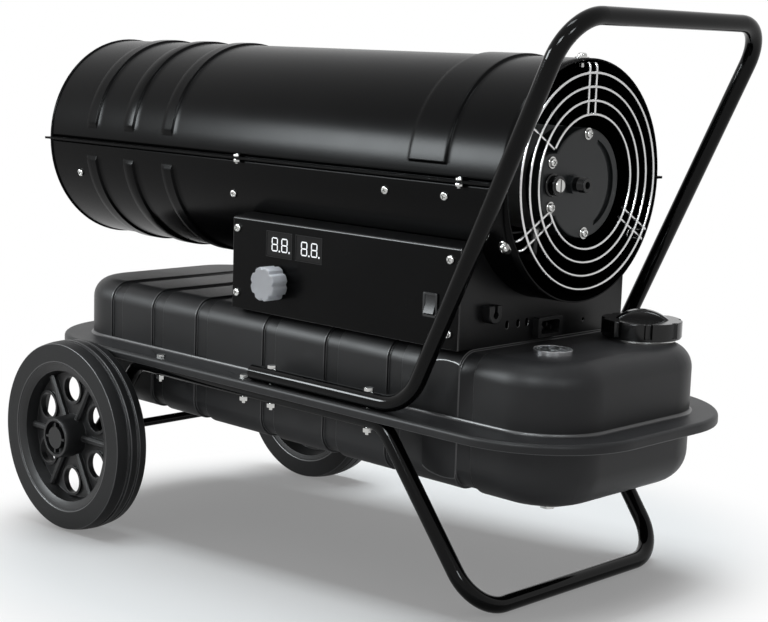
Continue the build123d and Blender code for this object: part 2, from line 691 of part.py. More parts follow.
def control_box():
    x0, x1 = BOX_X
    inner_y = BOX_Y - SHEET
    pan = block((x0, x1), (-inner_y, inner_y), (BOX_Z, BOX_Z + SHEET))
    end_top = BOX_TOP - SHEET
    end = Pos(0, (BOX_Z + end_top) / 2) * Rectangle(2 * inner_y, end_top - BOX_Z)
    end -= Pos(0, BARREL_Z) * Circle(BARREL_R)
    rear = end
    rear -= Pos(INLET_Y, BOX_Z + 3 + INLET_SIZE[1] / 2) * Rectangle(INLET_SIZE[0] - 8, INLET_SIZE[1] - 6)
    for y in GLAND_Y:
        rear -= Pos(y, GLAND_Z) * SlotOverall(*GLAND_SLOT, rotation=90)
    rear -= Pos(*EARTH_HOLE) * Circle(EARTH_HOLE_R)
    front = end - Pos(*LEAD_HOLE) * Circle(LEAD_HOLE_R)
    pan += along_x(front, x0, x0 + SHEET) + along_x(rear, x1 - SHEET, x1)
    for y in (-1, 1):
        for x, z in COVER_SCREWS:
            low, high = x0 + SHEET, x1 - SHEET
            ear_x = (low, low + EAR_LEN[0]) if x < (x0 + x1) / 2 else (high - EAR_LEN[1], high)
            ear = block(ear_x, sorted((y * inner_y, y * (inner_y - SHEET))), (z - EAR_HALF, z + EAR_HALF))
            pan += ear - Pos(x, y * inner_y, z) * Rot(90, 0, 0) * Cylinder(SCREW_R, 10)
    pan -= Pos(*PICKUP_XY, BOX_Z) * Cylinder(8, 10)
    nodes["chassis"] = pan

    def cover(side):
        outer = side * BOX_Y
        inner = side * inner_y
        ledge = side * LEDGE_Y
        ledge_z = BOX_TOP + LEDGE_RISE
        profile = Polyline((outer, BOX_Z), (outer, BOX_TOP), (ledge, ledge_z), (ledge, ledge_z - SHEET),
                           (inner, BOX_TOP - SHEET), (inner, BOX_Z), close=True)
        plate = along_x(make_face(profile), x0, x1)
        fold = [edge for edge in plate.edges().filter_by(Axis.X) if abs(edge.center().Y - outer) < 0.01
                and edge.center().Z > BOX_TOP - SHEET]
        plate = fillet(fold, COVER_FOLD_R)
        for x, z in COVER_SCREWS:
            plate -= Pos(x, outer, z) * Rot(90, 0, 0) * Cylinder(SCREW_R, 8)
        return plate

    control = cover(-1)
    for x in WINDOW_X:
        control -= block((x - WINDOW_SIZE[0] / 2, x + WINDOW_SIZE[0] / 2), (-BOX_Y - 1, -inner_y + 1),
                         (WINDOW_Z - WINDOW_SIZE[1] / 2, WINDOW_Z + WINDOW_SIZE[1] / 2))
    control -= Pos(KNOB_X, -BOX_Y, KNOB_Z) * Rot(90, 0, 0) * Cylinder(KNOB_HOLE_R, 10)
    control -= along_y(Pos(SWITCH_X, SWITCH_Z) * Rectangle(*SWITCH_BODY), -BOX_Y - 1, -inner_y + 1)
    nodes["control_cover"] = control
    nodes["plain_cover"] = cover(1)


def electrics():
    x1 = BOX_X[1]
    inner_y = BOX_Y - SHEET
    board = block(BOARD_X, BOARD_Y, (BOX_Z + 12, BOARD_TOP)) + block(*RELAY) + block(*COIL_ON_BOARD)
    board -= Pos(KNOB_X, -137, KNOB_Z) * Rot(90, 0, 0) * Cylinder(KNOB_SHAFT_R + 1, 60)
    for x in BOARD_FOOT_X:
        board += Pos(x, -140, BOX_Z + 6.75) * Box(10, 8, 10.5)
    nodes["control_board"] = board

    back = DISPLAY_BACK - inner_y
    display = block(DISPLAY_X, (back, back + DISPLAY_T), DISPLAY_Z)
    lens_w, lens_h = WINDOW_SIZE[0] - 2 * WINDOW_GAP, WINDOW_SIZE[1] - 2 * WINDOW_GAP
    for x in WINDOW_X:
        display += along_y(Pos(x, WINDOW_Z) * Rectangle(lens_w, lens_h), WINDOW_GAP - BOX_Y, back)
    nodes["display_module"] = display

    centre = Pos(KNOB_X, KNOB_Z)
    pot = along_y(centre * Circle(POT_R), -inner_y, BOARD_Y[0])
    pot += along_y(centre * Circle(POT_NOSE_R), -BOX_Y - SHEET, -inner_y)
    pot -= along_y(centre * Circle(KNOB_SHAFT_R + FIT), -BOX_Y - 2, BOARD_Y[0] - 1)
    nodes["potentiometer"] = pot
    nodes["knob_shaft"] = along_y(centre * Circle(KNOB_SHAFT_R), -BOX_Y - 14, BOARD_Y[0] - 2)

    base = Circle(KNOB_R - 1.2)
    for i in range(KNOB_LOBES):
        base += Rot(0, 0, (i + 0.5) * 360 / KNOB_LOBES) * Pos(KNOB_R - KNOB_LOBE_R, 0) * Circle(KNOB_LOBE_R)
    back = -BOX_Y - 2
    front = back - KNOB_DEPTH
    knob = along_y(centre * base, front, back)
    knob = fillet(knob.edges().group_by(Axis.Y)[0], KNOB_EDGE_R)
    knob -= along_y(centre * Circle(KNOB_SHAFT_R), -BOX_Y - 14, back + 1)
    knob -= along_y(centre * ring(KNOB_R - KNOB_WALL, KNOB_HUB_R), -BOX_Y - 14, back + 1)
    mark_w, mark_h, mark_depth = KNOB_MARK
    mark = Pos(KNOB_X, KNOB_Z + KNOB_R - 7) * RectangleRounded(mark_w, mark_h, mark_depth)
    knob -= along_y(mark, front - 1, front + mark_depth)
    nodes["thermostat_knob"] = knob

    w, h = SWITCH_SIZE
    rw, rh = ROCKER_SIZE
    body = along_y(Pos(SWITCH_X, SWITCH_Z) * RectangleRounded(w, h, 2), -BOX_Y - 2, -BOX_Y)
    body += along_y(Pos(SWITCH_X, SWITCH_Z) * Rectangle(*SWITCH_BODY), -BOX_Y, -BOX_Y + SWITCH_DEPTH)
    body -= along_y(Pos(SWITCH_X, SWITCH_Z) * Rectangle(rw + 1, rh + 2), -BOX_Y - 3, -BOX_Y + 12)
    pivot = Pos(2 - BOX_Y, SWITCH_Z)
    body -= along_x(pivot * Circle(ROCKER_PIN_R + FIT), SWITCH_X - rw / 2 - 1.3, SWITCH_X + rw / 2 + 1.3)
    nodes["switch_body"] = body
    half = rh / 2
    profile = Polyline((-BOX_Y + 3, -half), (-BOX_Y - 3.4, -half), (-BOX_Y - 1.4, 0), (-BOX_Y - 3.4, half),
                       (-BOX_Y + 3, half), (-BOX_Y + 7, 0), close=True)
    rocker = along_x(Pos(BOX_Y - 2, 0) * make_face(profile), SWITCH_X - rw / 2, SWITCH_X + rw / 2)
    rocker += along_x(Circle(ROCKER_PIN_R), SWITCH_X - rw / 2 - 1.1, SWITCH_X + rw / 2 + 1.1)
    nodes["switch_rocker"] = Pos(0, 2 - BOX_Y, SWITCH_Z) * (Rot(-ROCKER_DEG, 0, 0) * rocker)

    coil = block(IGNITION_X, IGNITION_Y, (BOX_Z + SHEET, BOX_Z + IGNITION_H))
    coil = fillet(coil.edges().filter_by(Axis.X), 5)
    for y in IGNITION_PORT_Y:
        coil += Pos(IGNITION_X[1], y, BOX_Z + 40) * Rot(0, 90, 0) * Cylinder(5, 18)
    nodes["ignition_transformer"] = coil
    can = along_x(Pos(CAN_Y, BOX_Z + SHEET + CAN_R) * Circle(CAN_R), *CAN_X)
    foot_x, foot_y, foot_h = CAN_FOOT
    can += block(foot_x, foot_y, (BOX_Z + SHEET, BOX_Z + foot_h))
    nodes["motor_capacitor"] = can

    iw, ih = INLET_SIZE
    z_mid = BOX_Z + 3 + ih / 2
    middle = Pos(INLET_Y, z_mid)
    inlet = along_x(middle * RectangleRounded(iw, ih, 3), x1, x1 + INLET_RIM)
    inlet += along_x(middle * Rectangle(iw - 9, ih - 7), x1 - INLET_DEPTH, x1)
    inlet -= along_x(middle * RectangleRounded(iw - 12, ih - 8, 3), x1 - 14, x1 + INLET_RIM + 1)
    for y, z in PIN_PLACES:
        pin = middle * Pos(y, z) * Rectangle(2 * PIN_HALF[0], 2 * PIN_HALF[1])
        inlet += along_x(pin, x1 - 15, x1 + 3)
    nodes["power_inlet"] = inlet

    lips = Pos(0, CLAMP_R / 2) * Rectangle(2 * CLAMP_R, CLAMP_R)
    mouth = Pos(0, CLAMP_R / 2 + 3) * Rectangle(5, CLAMP_R)
    section = Circle(CLAMP_R) + lips - Circle(CORD_R) - mouth
    clamp = along_x(Pos(CLAMP_Y, CLAMP_Z) * section, x1, x1 + CLAMP_LEN)
    front_rims = clamp.edges().group_by(Axis.X)[-1]
    rims = front_rims.filter_by(GeomType.LINE, reverse=True).sort_by(SortBy.LENGTH)[-1]
    clamp = fillet(rims, 1.5)
    nodes["cord_clamp"] = clamp


# ---- Tank ----

def plan(x_span, half, corner, inset=0.0):
    x0, x1 = x_span
    sketch = RectangleRounded(x1 - x0 - 2 * inset, 2 * (half - inset), corner - inset)
    return Pos((x0 + x1) / 2, 0) * sketch


def pan_form(depth, inset, edge=TANK_EDGE):
    """A pressed pan standing on Z = 0 with a rounded top edge, its walls moved in by inset."""
    form = along_z(plan(TANK_X, TANK_HALF, TANK_CORNER, inset), 0, depth - inset)
    return fillet(form.edges().group_by(Axis.Z)[-1], edge - inset)


def grooved(depth, inset):
    """The pan with its stiffening grooves across the top and down both sides, and the two handle dents."""
    slabs = Part()
    width = GROOVE_W + 2 * inset
    for x in GROOVE_X:
        slabs += block((x - width / 2, x + width / 2), (-400, 400), (-1, 400))
    form = pan_form(depth, inset + GROOVE_D) + (pan_form(depth, inset) - slabs)
    for side in (-1, 1):
        dent_y = side * (TANK_HALF - DENT_D + DENT_R)
        form -= Pos(DENT_X, dent_y, 200) * Cylinder(DENT_R + inset, 500)
    return form


def hollow_pan(depth):
    return grooved(depth, 0) - grooved(depth, TANK_T)


def flange_holes():
    drill = Part()
    for side in (-1, 1):
        for x in BOLT_X_FRONT + BOLT_X_HANDLE:
            drill += Pos(x, side * TUBE_Y, TANK_SEAM) * Cylinder(BOLT_R + 0.2, 60)
    return drill


def tank():
    opening = plan(TANK_X, TANK_HALF, TANK_CORNER, TANK_T + GROOVE_D)
    outline = plan(FLANGE_X, FLANGE_HALF, FLANGE_CORNER)
    top = TANK_SEAM + TANK_T
    cover = along_z(outline, LIP_BOTTOM, top)
    cover = fillet(cover.edges().group_by(Axis.Z)[-1], LIP_EDGE)
    inner = along_z(plan(FLANGE_X, FLANGE_HALF, FLANGE_CORNER, TANK_T), LIP_BOTTOM, TANK_SEAM)
    cover -= fillet(inner.edges().group_by(Axis.Z)[-1], LIP_EDGE - TANK_T)
    cover -= along_z(opening, LIP_BOTTOM, top)
    upper = cover + Pos(0, 0, TANK_SEAM) * hollow_pan(TANK_TOP - TANK_SEAM)
    upper -= Pos(*NECK_XY, TANK_TOP) * Cylinder(NECK_R, 20)
    upper -= Pos(*GAUGE_XY, TANK_TOP) * Cylinder(GAUGE_R - 5, 20)
    upper -= Pos(*PICKUP_XY, TANK_TOP) * Cylinder(5, 20)
    nodes["tank_upper"] = upper - flange_holes()

    plate = along_z(plan(FLANGE_X, FLANGE_HALF, FLANGE_CORNER, LIP_EDGE) - opening,
                    TANK_SEAM - TANK_T, TANK_SEAM)
    down = Pos(0, 0, TANK_SEAM) * Rot(180, 0, 0)
    shallow = TANK_SEAM - TANK_BOTTOM
    deep = TANK_SEAM - SUMP_BOTTOM
    sump = block((SUMP_X, 600), (-300, 300), (-1, 300))
    sump_inner = block((SUMP_X + TANK_T, 600), (-300, 300), (-1, 300))
    body = (grooved(shallow, 0) - sump) + (pan_form(deep, 0, SUMP_EDGE) & sump)
    body -= (grooved(shallow, TANK_T) - sump_inner) + (pan_form(deep, TANK_T, SUMP_EDGE) & sump_inner)
    lower = plate + down * body
    dish_r, dish_h = DRAIN_DISH
    dish_z, floor_z = SUMP_BOTTOM - dish_h, SUMP_BOTTOM + TANK_T
    lower += Pos(*DRAIN_XY) * along_z(Circle(dish_r), dish_z, floor_z)
    lower -= Pos(*DRAIN_XY) * along_z(Circle(dish_r - TANK_T), dish_z + TANK_T, floor_z)
    lower -= Pos(*DRAIN_XY, SUMP_BOTTOM) * Cylinder(DRAIN_HOLE_R, 4 * dish_h)
    nodes["tank_lower"] = lower - flange_holes()

    nx, ny = NECK_XY
    bore = NECK_R - NECK_T
    neck = along_z(Pos(nx, ny) * ring(NECK_R, bore), TANK_TOP - 12, NECK_TOP)
    neck += along_z(Pos(nx, ny) * ring(NECK_R + NECK_FLANGE, bore), TANK_TOP, TANK_TOP + NECK_T)
    nodes["filler_neck"] = neck

    mesh_r = bore - 0.2
    strainer = along_z(Pos(nx, ny) * ring(mesh_r, mesh_r - MESH_T), MESH_Z, NECK_TOP)
    strainer += along_z(Pos(nx, ny) * Circle(mesh_r), MESH_Z - MESH_T, MESH_Z)
    strainer += along_z(Pos(nx, ny) * ring(NECK_R, mesh_r - MESH_T), NECK_TOP, NECK_TOP + 1)
    nodes["filler_strainer"] = strainer

    seal = ring(NECK_R + 1.5, NECK_R - 5)
    nodes["cap_seal"] = along_z(Pos(nx, ny) * seal, NECK_TOP + 1 + FIT, NECK_TOP + 3.5 - FIT)

    z0, z1 = CAP_Z
    rim = Circle(CAP_R)
    for i in range(CAP_NOTCHES):
        rim -= Rot(0, 0, i * 360 / CAP_NOTCHES) * Pos(CAP_R + 2, 0) * Circle(CAP_NOTCH_R)
    cap = along_z(rim, z0 + 2, z1)
    cap = fillet(cap.edges().group_by(Axis.Z)[-1], 1.5)
    cap += along_z(Circle(CAP_R - 1), z0, z0 + 3)
    length, width = GRIP_SIZE
    bow = ThreePointArc((-length / 2, z1 - 1), (0, GRIP_TOP), (length / 2, z1 - 1))
    side = make_face(bow + Line((length / 2, z1 - 1), (-length / 2, z1 - 1)))
    grip = along_y(side, -width / 2, width / 2)
    grip = fillet(grip.edges().filter_by(GeomType.CIRCLE), 3.5)
    cap += Rot(0, 0, 40) * grip
    cap -= along_z(Circle(NECK_R + 3), z0 - 1, NECK_TOP + 3.5)
    nodes["filler_cap"] = Pos(nx, ny, 0) * cap

    gx, gy = GAUGE_XY
    body = along_z(Circle(GAUGE_R), TANK_TOP, TANK_TOP + 3)
    body += along_z(Circle(GAUGE_R - 5.1), TANK_TOP - 24, TANK_TOP)
    body -= along_z(Circle(GAUGE_R - 3), TANK_TOP + 0.6, TANK_TOP + 3)
    body += block((-4, 4), (-7, -3), (FLOAT_PIVOT_Z - 6, TANK_TOP - 20))
    body += block((-4, 4), (3, 7), (FLOAT_PIVOT_Z - 6, TANK_TOP - 20))
    body -= Pos(0, 0, FLOAT_PIVOT_Z) * Rot(90, 0, 0) * Cylinder(FLOAT_PIN_R + FIT, 20)
    body -= along_z(Circle(FLOAT_PIN_R + FIT), TANK_TOP - 10, TANK_TOP + 1)
    nodes["gauge_body"] = Pos(gx, gy, 0) * body
    lens = along_z(Circle(GAUGE_R - 3), TANK_TOP + 2.4, TANK_TOP + 3)
    lens += along_z(Circle(GAUGE_R - 1), TANK_TOP + 3, TANK_TOP + 4)
    lens = fillet(lens.edges().group_by(Axis.Z)[-1], 0.8)
    nodes["gauge_lens"] = Pos(gx, gy, 0) * lens
    pointer = along_z(Circle(FLOAT_PIN_R), TANK_TOP - 9, TANK_TOP + 2)
    pointer += along_z(Circle(2 * FLOAT_PIN_R), TANK_TOP + 1, TANK_TOP + 2)
    pointer += block((0, 15), (-0.9, 0.9), (TANK_TOP + 1, TANK_TOP + 1.6))
    nodes["gauge_pointer"] = Pos(gx, gy, 0) * pointer

    arm = Rot(90, 0, 0) * Cylinder(FLOAT_PIN_R, 16) + Rot(90, 0, 0) * Cylinder(3.6, 5)
    arm += Pos(0, 0, -FLOAT_ARM / 2) * Cylinder(FLOAT_ROD_R, FLOAT_ARM)
    arm += Pos(0, 0, -FLOAT_ARM) * Cylinder(FLOAT_R, FLOAT_LEN)
    arm = Pos(gx, gy, FLOAT_PIVOT_Z) * Rot(0, FLOAT_DEG, 0) * arm
    nodes["float_arm"] = arm

    px, py = PICKUP_XY
    pick = along_z(ring(PICKUP_R, PICKUP_BORE_R), PICKUP_Z + 6, BOX_Z + 18)
    pick += along_z(ring(PICKUP_R + 1, PICKUP_R - 1), TANK_TOP - 3, TANK_TOP + 3)
    pick += along_z(ring(11, PICKUP_R - 1), PICKUP_Z, PICKUP_Z + 18)
    nodes["fuel_pickup"] = Pos(px, py, 0) * pick

    low = SUMP_BOTTOM - dish_h
    head_r, head_h = DRAIN_HEAD
    drain = along_z(Circle(DRAIN_HOLE_R), low - 1, low + 6)
    drain += along_z(Circle(DRAIN_WASHER_R), low - 2, low)
    drain += along_z(RegularPolygon(head_r, 6), low - 2 - head_h, low - 2)
    nodes["drain_plug"] = Pos(*DRAIN_XY, 0) * drain


# ---- Frame and wheels ----

def frame():
    y = TUBE_Y
    hx, hz = HANDLE_TOP
    corners = [(HANDLE_START_X, -y, HANDLE_Z), (HANDLE_KNEE_X, -y, HANDLE_Z), (hx, -y, hz), (hx, y, hz),
               (HANDLE_KNEE_X, y, HANDLE_Z), (HANDLE_START_X, y, HANDLE_Z)]
    bends = (HANDLE_KNEE_R, HANDLE_TOP_R, HANDLE_TOP_R, HANDLE_KNEE_R)
    handle = tube_along(corners, bends, TUBE_R, TUBE_R - TUBE_T)
    drill = Part()
    for side in (-1, 1):
        for x in BOLT_X_HANDLE:
            drill += Pos(x, side * y, HANDLE_Z) * Cylinder(BOLT_R, 40)
    nodes["handle"] = handle - drill

    fx, fz = STAND_FOOT
    bx, bz = RUN_X[0], RUN_Z
    reach = hypot(AXLE_X - bx, AXLE_Z - bz)
    ux, uz = (AXLE_X - bx) / reach, (AXLE_Z - bz) / reach
    tail = (AXLE_X + 14 * ux, AXLE_Z + 14 * uz)
    half = [(tail[0], y, tail[1]), (bx, y, bz), (RUN_X[1], y, RUN_Z), (fx, STAND_FOOT_Y, fz)]
    points = [(px, -py, pz) for px, py, pz in half] + half[::-1]
    radii = (AXLE_BEND_R, STAND_KNEE_R, STAND_FOOT_R, STAND_FOOT_R, STAND_KNEE_R, AXLE_BEND_R)
    lower = tube_along(points, radii, TUBE_R, TUBE_R - TUBE_T)
    drill = Pos(AXLE_X, 0, AXLE_Z) * Rot(90, 0, 0) * Cylinder(AXLE_R, 600)
    for side in (-1, 1):
        for x in BOLT_X_FRONT + BOLT_X_HANDLE:
            drill += Pos(x, side * y, RUN_Z) * Cylinder(BOLT_R, 40)
    nodes["lower_frame"] = lower - drill

    bolts = []
    for side in (-1, 1):
        for x in BOLT_X_FRONT + BOLT_X_HANDLE:
            top = HANDLE_Z + TUBE_R if x in BOLT_X_HANDLE else TANK_SEAM + TANK_T
            bottom = RUN_Z - TUBE_R
            bolts.append(Pos(x, side * y, top) * hex_bolt(10, 4, BOLT_R, top - bottom + 8))
            bolts.append(Pos(x, side * y, bottom) * hex_nut(10, 5, BOLT_R))
    nodes["frame_bolts"] = Compound(bolts)

    reach = HUB_Y[1] - 2
    nodes["axle"] = Pos(AXLE_X, 0, AXLE_Z) * Rot(90, 0, 0) * Cylinder(AXLE_R, 2 * reach)


def wheel_section():
    """The rim, web and hub as (distance from the middle plane, radius), seen from the outer face."""
    face, back = WHEEL_Y, WHEEL_Y - WHEEL_W
    bore = AXLE_R + FIT
    cup = HUB_Y[1] - HUB_CUP_DEPTH
    return Polyline((cup, bore), (cup, HUB_CUP_R), (HUB_Y[1], HUB_CUP_R + 1), (HUB_Y[1], HUB_R - 2),
                    (HUB_Y[1] - 2, HUB_R - 0.5), (WEB_Y, HUB_R + 1), (WEB_Y, WEB_R - 2), (face - 6, WEB_R + 2),
                    (face - 3, RIM_LIP_R), (face - 1.5, RIM_R), (back + 1.5, RIM_R), (back + 3, RIM_LIP_R),
                    (WEB_Y - WEB_T, WEB_R), (WEB_Y - WEB_T, HUB_R - 4), (HUB_Y[0] + 2, HUB_R - 6),
                    (HUB_Y[0], HUB_R - 8), (HUB_Y[0], bore), close=True)


def tyre_section():
    """The tyre as (distance from the middle plane, radius): flat sides, a low crown and two tread grooves."""
    face, back = WHEEL_Y, WHEEL_Y - WHEEL_W
    middle = (face + back) / 2
    crown = ThreePointArc((face, WHEEL_FACE_R), (middle, WHEEL_R), (back, WHEEL_FACE_R))
    walls = Polyline((back, WHEEL_FACE_R), (back, RIM_R + 2), (back + 1.5, RIM_R), (face - 1.5, RIM_R),
                     (face, RIM_R + 2), (face, WHEEL_FACE_R))
    section = make_face(crown + walls)
    for depth in TREAD_GROOVES:
        section -= Pos(face - depth, WHEEL_R) * Rot(0, 0, 45) * Rectangle(4, 4)
    return section


def wheels():
    turn = Plane(origin=(0, 0, 0), x_dir=(0, 1, 0), z_dir=(1, 0, 0))
    rim = revolve(turn * make_face(wheel_section()), axis=Axis.Y)
    bar = block((-SPOKE_W / 2, SPOKE_W / 2), (WEB_Y - 1, WEB_Y + SPOKE_RISE), (HUB_R - 3, WEB_R - 1))
    bar = chamfer(bar.edges().group_by(Axis.Y)[-1].filter_by(Axis.Z), 2.5)
    boss = Pos(0, WEB_Y, HOLE_PITCH_R) * Rot(90, 0, 0) * Cylinder(HOLE_R + HOLE_RING_W, 2 * HOLE_RING_W)
    hole = Pos(0, WEB_Y, HOLE_PITCH_R) * Rot(90, 0, 0) * Cylinder(HOLE_R, 30)
    for i in range(SPOKES):
        rim += Rot(0, i * 360 / SPOKES, 0) * boss
        rim += Rot(0, (i + 0.5) * 360 / SPOKES, 0) * bar
    for i in range(SPOKES):
        rim -= Rot(0, i * 360 / SPOKES, 0) * hole
    tyre = revolve(turn * tyre_section(), axis=Axis.Y)
    place = Pos(AXLE_X, 0, AXLE_Z)
    nodes["wheel_right"] = place * rim
    nodes["tyre_right"] = place * tyre
    nodes["wheel_left"] = place * mirror(rim, about=Plane.XZ)
    nodes["tyre_left"] = place * mirror(tyre, about=Plane.XZ)

    cup, lid = HUB_Y[1] - HUB_CUP_DEPTH, HUB_Y[1] - 2
    cap = along_z(ring(CAP_BOSS_R, AXLE_R), cup + 0.5, lid) + along_z(Circle(CAP_BOSS_R), lid, HUB_Y[1])
    cap = Rot(-90, 0, 0) * cap
    reach = HUB_CUP_R - CAP_FIN_HALF
    for angle in (0, 90):
        cap += Rot(0, angle, 0) * block((-CAP_FIN_HALF, CAP_FIN_HALF), (cup + 3, HUB_Y[1]), (-reach, reach))
    cap -= Rot(-90, 0, 0) * along_z(Circle(AXLE_R), cup, lid)
    spacer = along_y(ring(SPACER_R, AXLE_R), TUBE_Y + TUBE_R + 0.2, HUB_Y[0] - 0.5)
    nodes["hub_caps"] = Compound([place * piece for outer in (cap, spacer)
                                  for piece in (outer, mirror(outer, about=Plane.XZ))])


# ---- The lean and the floor ----

def floor_lean():
    """The angle that sets both the wheels and the stand's bar on the floor."""
    dx = STAND_FOOT[0] - AXLE_X
    dz = AXLE_Z - STAND_FOOT[1]
    return degrees(asin((WHEEL_R - TUBE_R) / hypot(dx, dz)) - atan2(dz, dx))


barrel()
burner()
motor_group()
bracket()
guard()
hoses()
control_box()
electrics()
tank()
frame()
wheels()

lean = floor_lean()
leaned = {name: Rot(0, lean, 0) * shape for name, shape in nodes.items()}
box = Compound(list(leaned.values())).bounding_box()
wheel_low = -sin(radians(lean)) * AXLE_X + cos(radians(lean)) * AXLE_Z - WHEEL_R
shift = Pos(-(box.min.X + box.max.X) / 2, 0, -wheel_low)
os.makedirs("parts", exist_ok=True)
for name, shape in leaned.items():
    export_step(shift * shape, f"parts/{name}.step")
print("lean", round(lean, 4), "shift", shift.position, "box", box.size, "nodes", len(nodes))
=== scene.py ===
# %% [markdown]
# # A wheeled forced air heater, dressed for its portrait
# The heater was drawn first as a set of solid pieces at their real size. This file loads those solids as a fixed
# frame and gives them their looks: rounded sheet edges, paint, plastic and rubber, the small fasteners, the lit
# digits, and a small studio. Places are worked out in the heater's own level frame, in millimetres, and one matrix
# carries them to the world.

# %% Load the solids
import json
from math import atan2, cos, degrees, pi, radians, sin, sqrt

import bpy
from mathutils import Matrix, Vector


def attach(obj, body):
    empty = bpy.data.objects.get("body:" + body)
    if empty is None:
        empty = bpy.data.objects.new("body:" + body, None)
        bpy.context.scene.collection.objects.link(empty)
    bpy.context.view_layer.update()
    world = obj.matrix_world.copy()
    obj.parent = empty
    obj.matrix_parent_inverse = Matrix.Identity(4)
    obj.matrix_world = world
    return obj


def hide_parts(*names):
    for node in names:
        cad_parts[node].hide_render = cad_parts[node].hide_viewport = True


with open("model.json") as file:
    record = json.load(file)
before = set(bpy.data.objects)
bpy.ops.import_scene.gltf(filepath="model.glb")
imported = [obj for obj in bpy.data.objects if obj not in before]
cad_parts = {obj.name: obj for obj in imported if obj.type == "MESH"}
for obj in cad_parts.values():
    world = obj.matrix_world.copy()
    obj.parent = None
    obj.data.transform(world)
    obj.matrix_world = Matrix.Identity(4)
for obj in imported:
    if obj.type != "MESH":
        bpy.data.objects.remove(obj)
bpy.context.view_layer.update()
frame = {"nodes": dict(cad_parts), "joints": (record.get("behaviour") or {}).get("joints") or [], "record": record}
nodes = frame["nodes"]
joints = {joint["name"]: joint for joint in frame["joints"]}

# %% [markdown]
# ## The level frame
# The tubes hold the heater with its nose a little up. It is far easier to think of a barrel that lies level, so the
# pieces are made level and then leaned. The lean is read from the fan's axis, and the place from a wheel's centre.

# %% The level frame
MM = 0.001
WHEEL_CENTRE = Vector((-247.0, -226.0, 127.0))
fan_axis = joints["fan_spin"]["axis"]
lean = atan2(-fan_axis[2], fan_axis[0])
LEAN = Matrix.Rotation(lean, 4, "Y")
wheel_centre = Vector(joints["wheel_left_roll"]["pos_m"])
LEVEL = Matrix.Translation(wheel_centre - LEAN @ (WHEEL_CENTRE * MM)) @ LEAN @ Matrix.Scale(MM, 4)
print("nose up by", round(degrees(lean), 2), "degrees")

# %% [markdown]
# ## The camera
# A long lens from the control side, a little above the barrel. The yaw turns it from straight across the heater
# towards the outlet, and the pitch looks down on the tank. It is set in the level frame with the rest.

# %% Camera
CAMERA_PLACE = Vector((1616.2, -1559.4, 671.5))
YAW, PITCH, ROLL = radians(43.891), radians(9.049), radians(1.927)
LENS = 78.9
camera = bpy.data.objects.new("camera", bpy.data.cameras.new("camera"))
camera.data.lens = LENS
camera.data.sensor_width = 36.0
aim = Matrix.Rotation(YAW, 4, "Z") @ Matrix.Rotation(radians(90) - PITCH, 4, "X") @ Matrix.Rotation(ROLL, 4, "Z")
camera.matrix_world = Matrix.Translation(LEVEL @ CAMERA_PLACE) @ LEAN @ aim
bpy.context.scene.collection.objects.link(camera)
bpy.context.scene.camera = camera
bpy.context.scene.view_settings.view_transform = "Standard"
print("camera at", [round(value, 3) for value in camera.matrix_world.translation])

# %% [markdown]
# ## The studio
# Black enamel shows its shape only by what it mirrors. The air around is white to the camera and in mirror images,
# which gives every edge a thin bright line, and it adds only a little light of its own. The paper floor fades to a
# plain white glow away from the heater, so that no horizon shows.

# %% Floor and world
def seen_directly(tree):
    """One where a ray comes from the camera, a mirror image or through glass, and nought elsewhere."""
    path = tree.nodes.new("ShaderNodeLightPath")
    both = tree.nodes.new("ShaderNodeMath")
    both.operation = "MAXIMUM"
    tree.links.new(path.outputs["Is Camera Ray"], both.inputs[0])
    tree.links.new(path.outputs["Is Glossy Ray"], both.inputs[1])
    every = tree.nodes.new("ShaderNodeMath")
    every.operation = "MAXIMUM"
    tree.links.new(both.outputs[0], every.inputs[0])
    tree.links.new(path.outputs["Is Transmission Ray"], every.inputs[1])
    return every.outputs[0]


FILL = 0.22
WHITE = (1.0, 1.0, 1.0, 1.0)
world = bpy.data.worlds.new("studio")
world.use_nodes = True
bpy.context.scene.world = world
tree = world.node_tree
fill = tree.nodes["Background"]
fill.inputs["Color"].default_value = WHITE
fill.inputs["Strength"].default_value = FILL
white = tree.nodes.new("ShaderNodeBackground")
white.inputs["Color"].default_value = WHITE
white.inputs["Strength"].default_value = 1.0
choose = tree.nodes.new("ShaderNodeMixShader")
tree.links.new(seen_directly(tree), choose.inputs[0])
tree.links.new(fill.outputs[0], choose.inputs[1])
tree.links.new(white.outputs[0], choose.inputs[2])
tree.links.new(choose.outputs[0], tree.nodes["World Output"].inputs["Surface"])

FLOOR_SIZE = 60.0
PAPER_GREY, PAPER_ROUGHNESS = (0.72, 0.72, 0.72, 1.0), 0.9
PAPER_NEAR, PAPER_FAR, PAPER_LIFT = 0.4, 0.62, 0.22
floor_mesh = bpy.data.meshes.new("floor")
half = FLOOR_SIZE / 2
floor_mesh.from_pydata([(-half, -half, 0), (half, -half, 0), (half, half, 0), (-half, half, 0)], [], [(0, 1, 2, 3)])
floor = bpy.data.objects.new("floor", floor_mesh)
bpy.context.scene.collection.objects.link(floor)
paper = bpy.data.materials.new("studio_floor")
paper.use_nodes = True
tree = paper.node_tree
lit = tree.nodes["Principled BSDF"]
lit.inputs["Base Color"].default_value = PAPER_GREY
lit.inputs["Roughness"].default_value = PAPER_ROUGHNESS
lit.inputs["Specular IOR Level"].default_value = 0.0
place = tree.nodes.new("ShaderNodeNewGeometry")
reach = tree.nodes.new("ShaderNodeVectorMath")
reach.operation = "LENGTH"
tree.links.new(place.outputs["Position"], reach.inputs[0])
away = tree.nodes.new("ShaderNodeMapRange")
away.interpolation_type = "SMOOTHSTEP"
away.inputs["From Min"].default_value = PAPER_NEAR
away.inputs["From Max"].default_value = PAPER_FAR
away.inputs["To Min"].default_value = PAPER_LIFT
tree.links.new(reach.outputs["Value"], away.inputs["Value"])
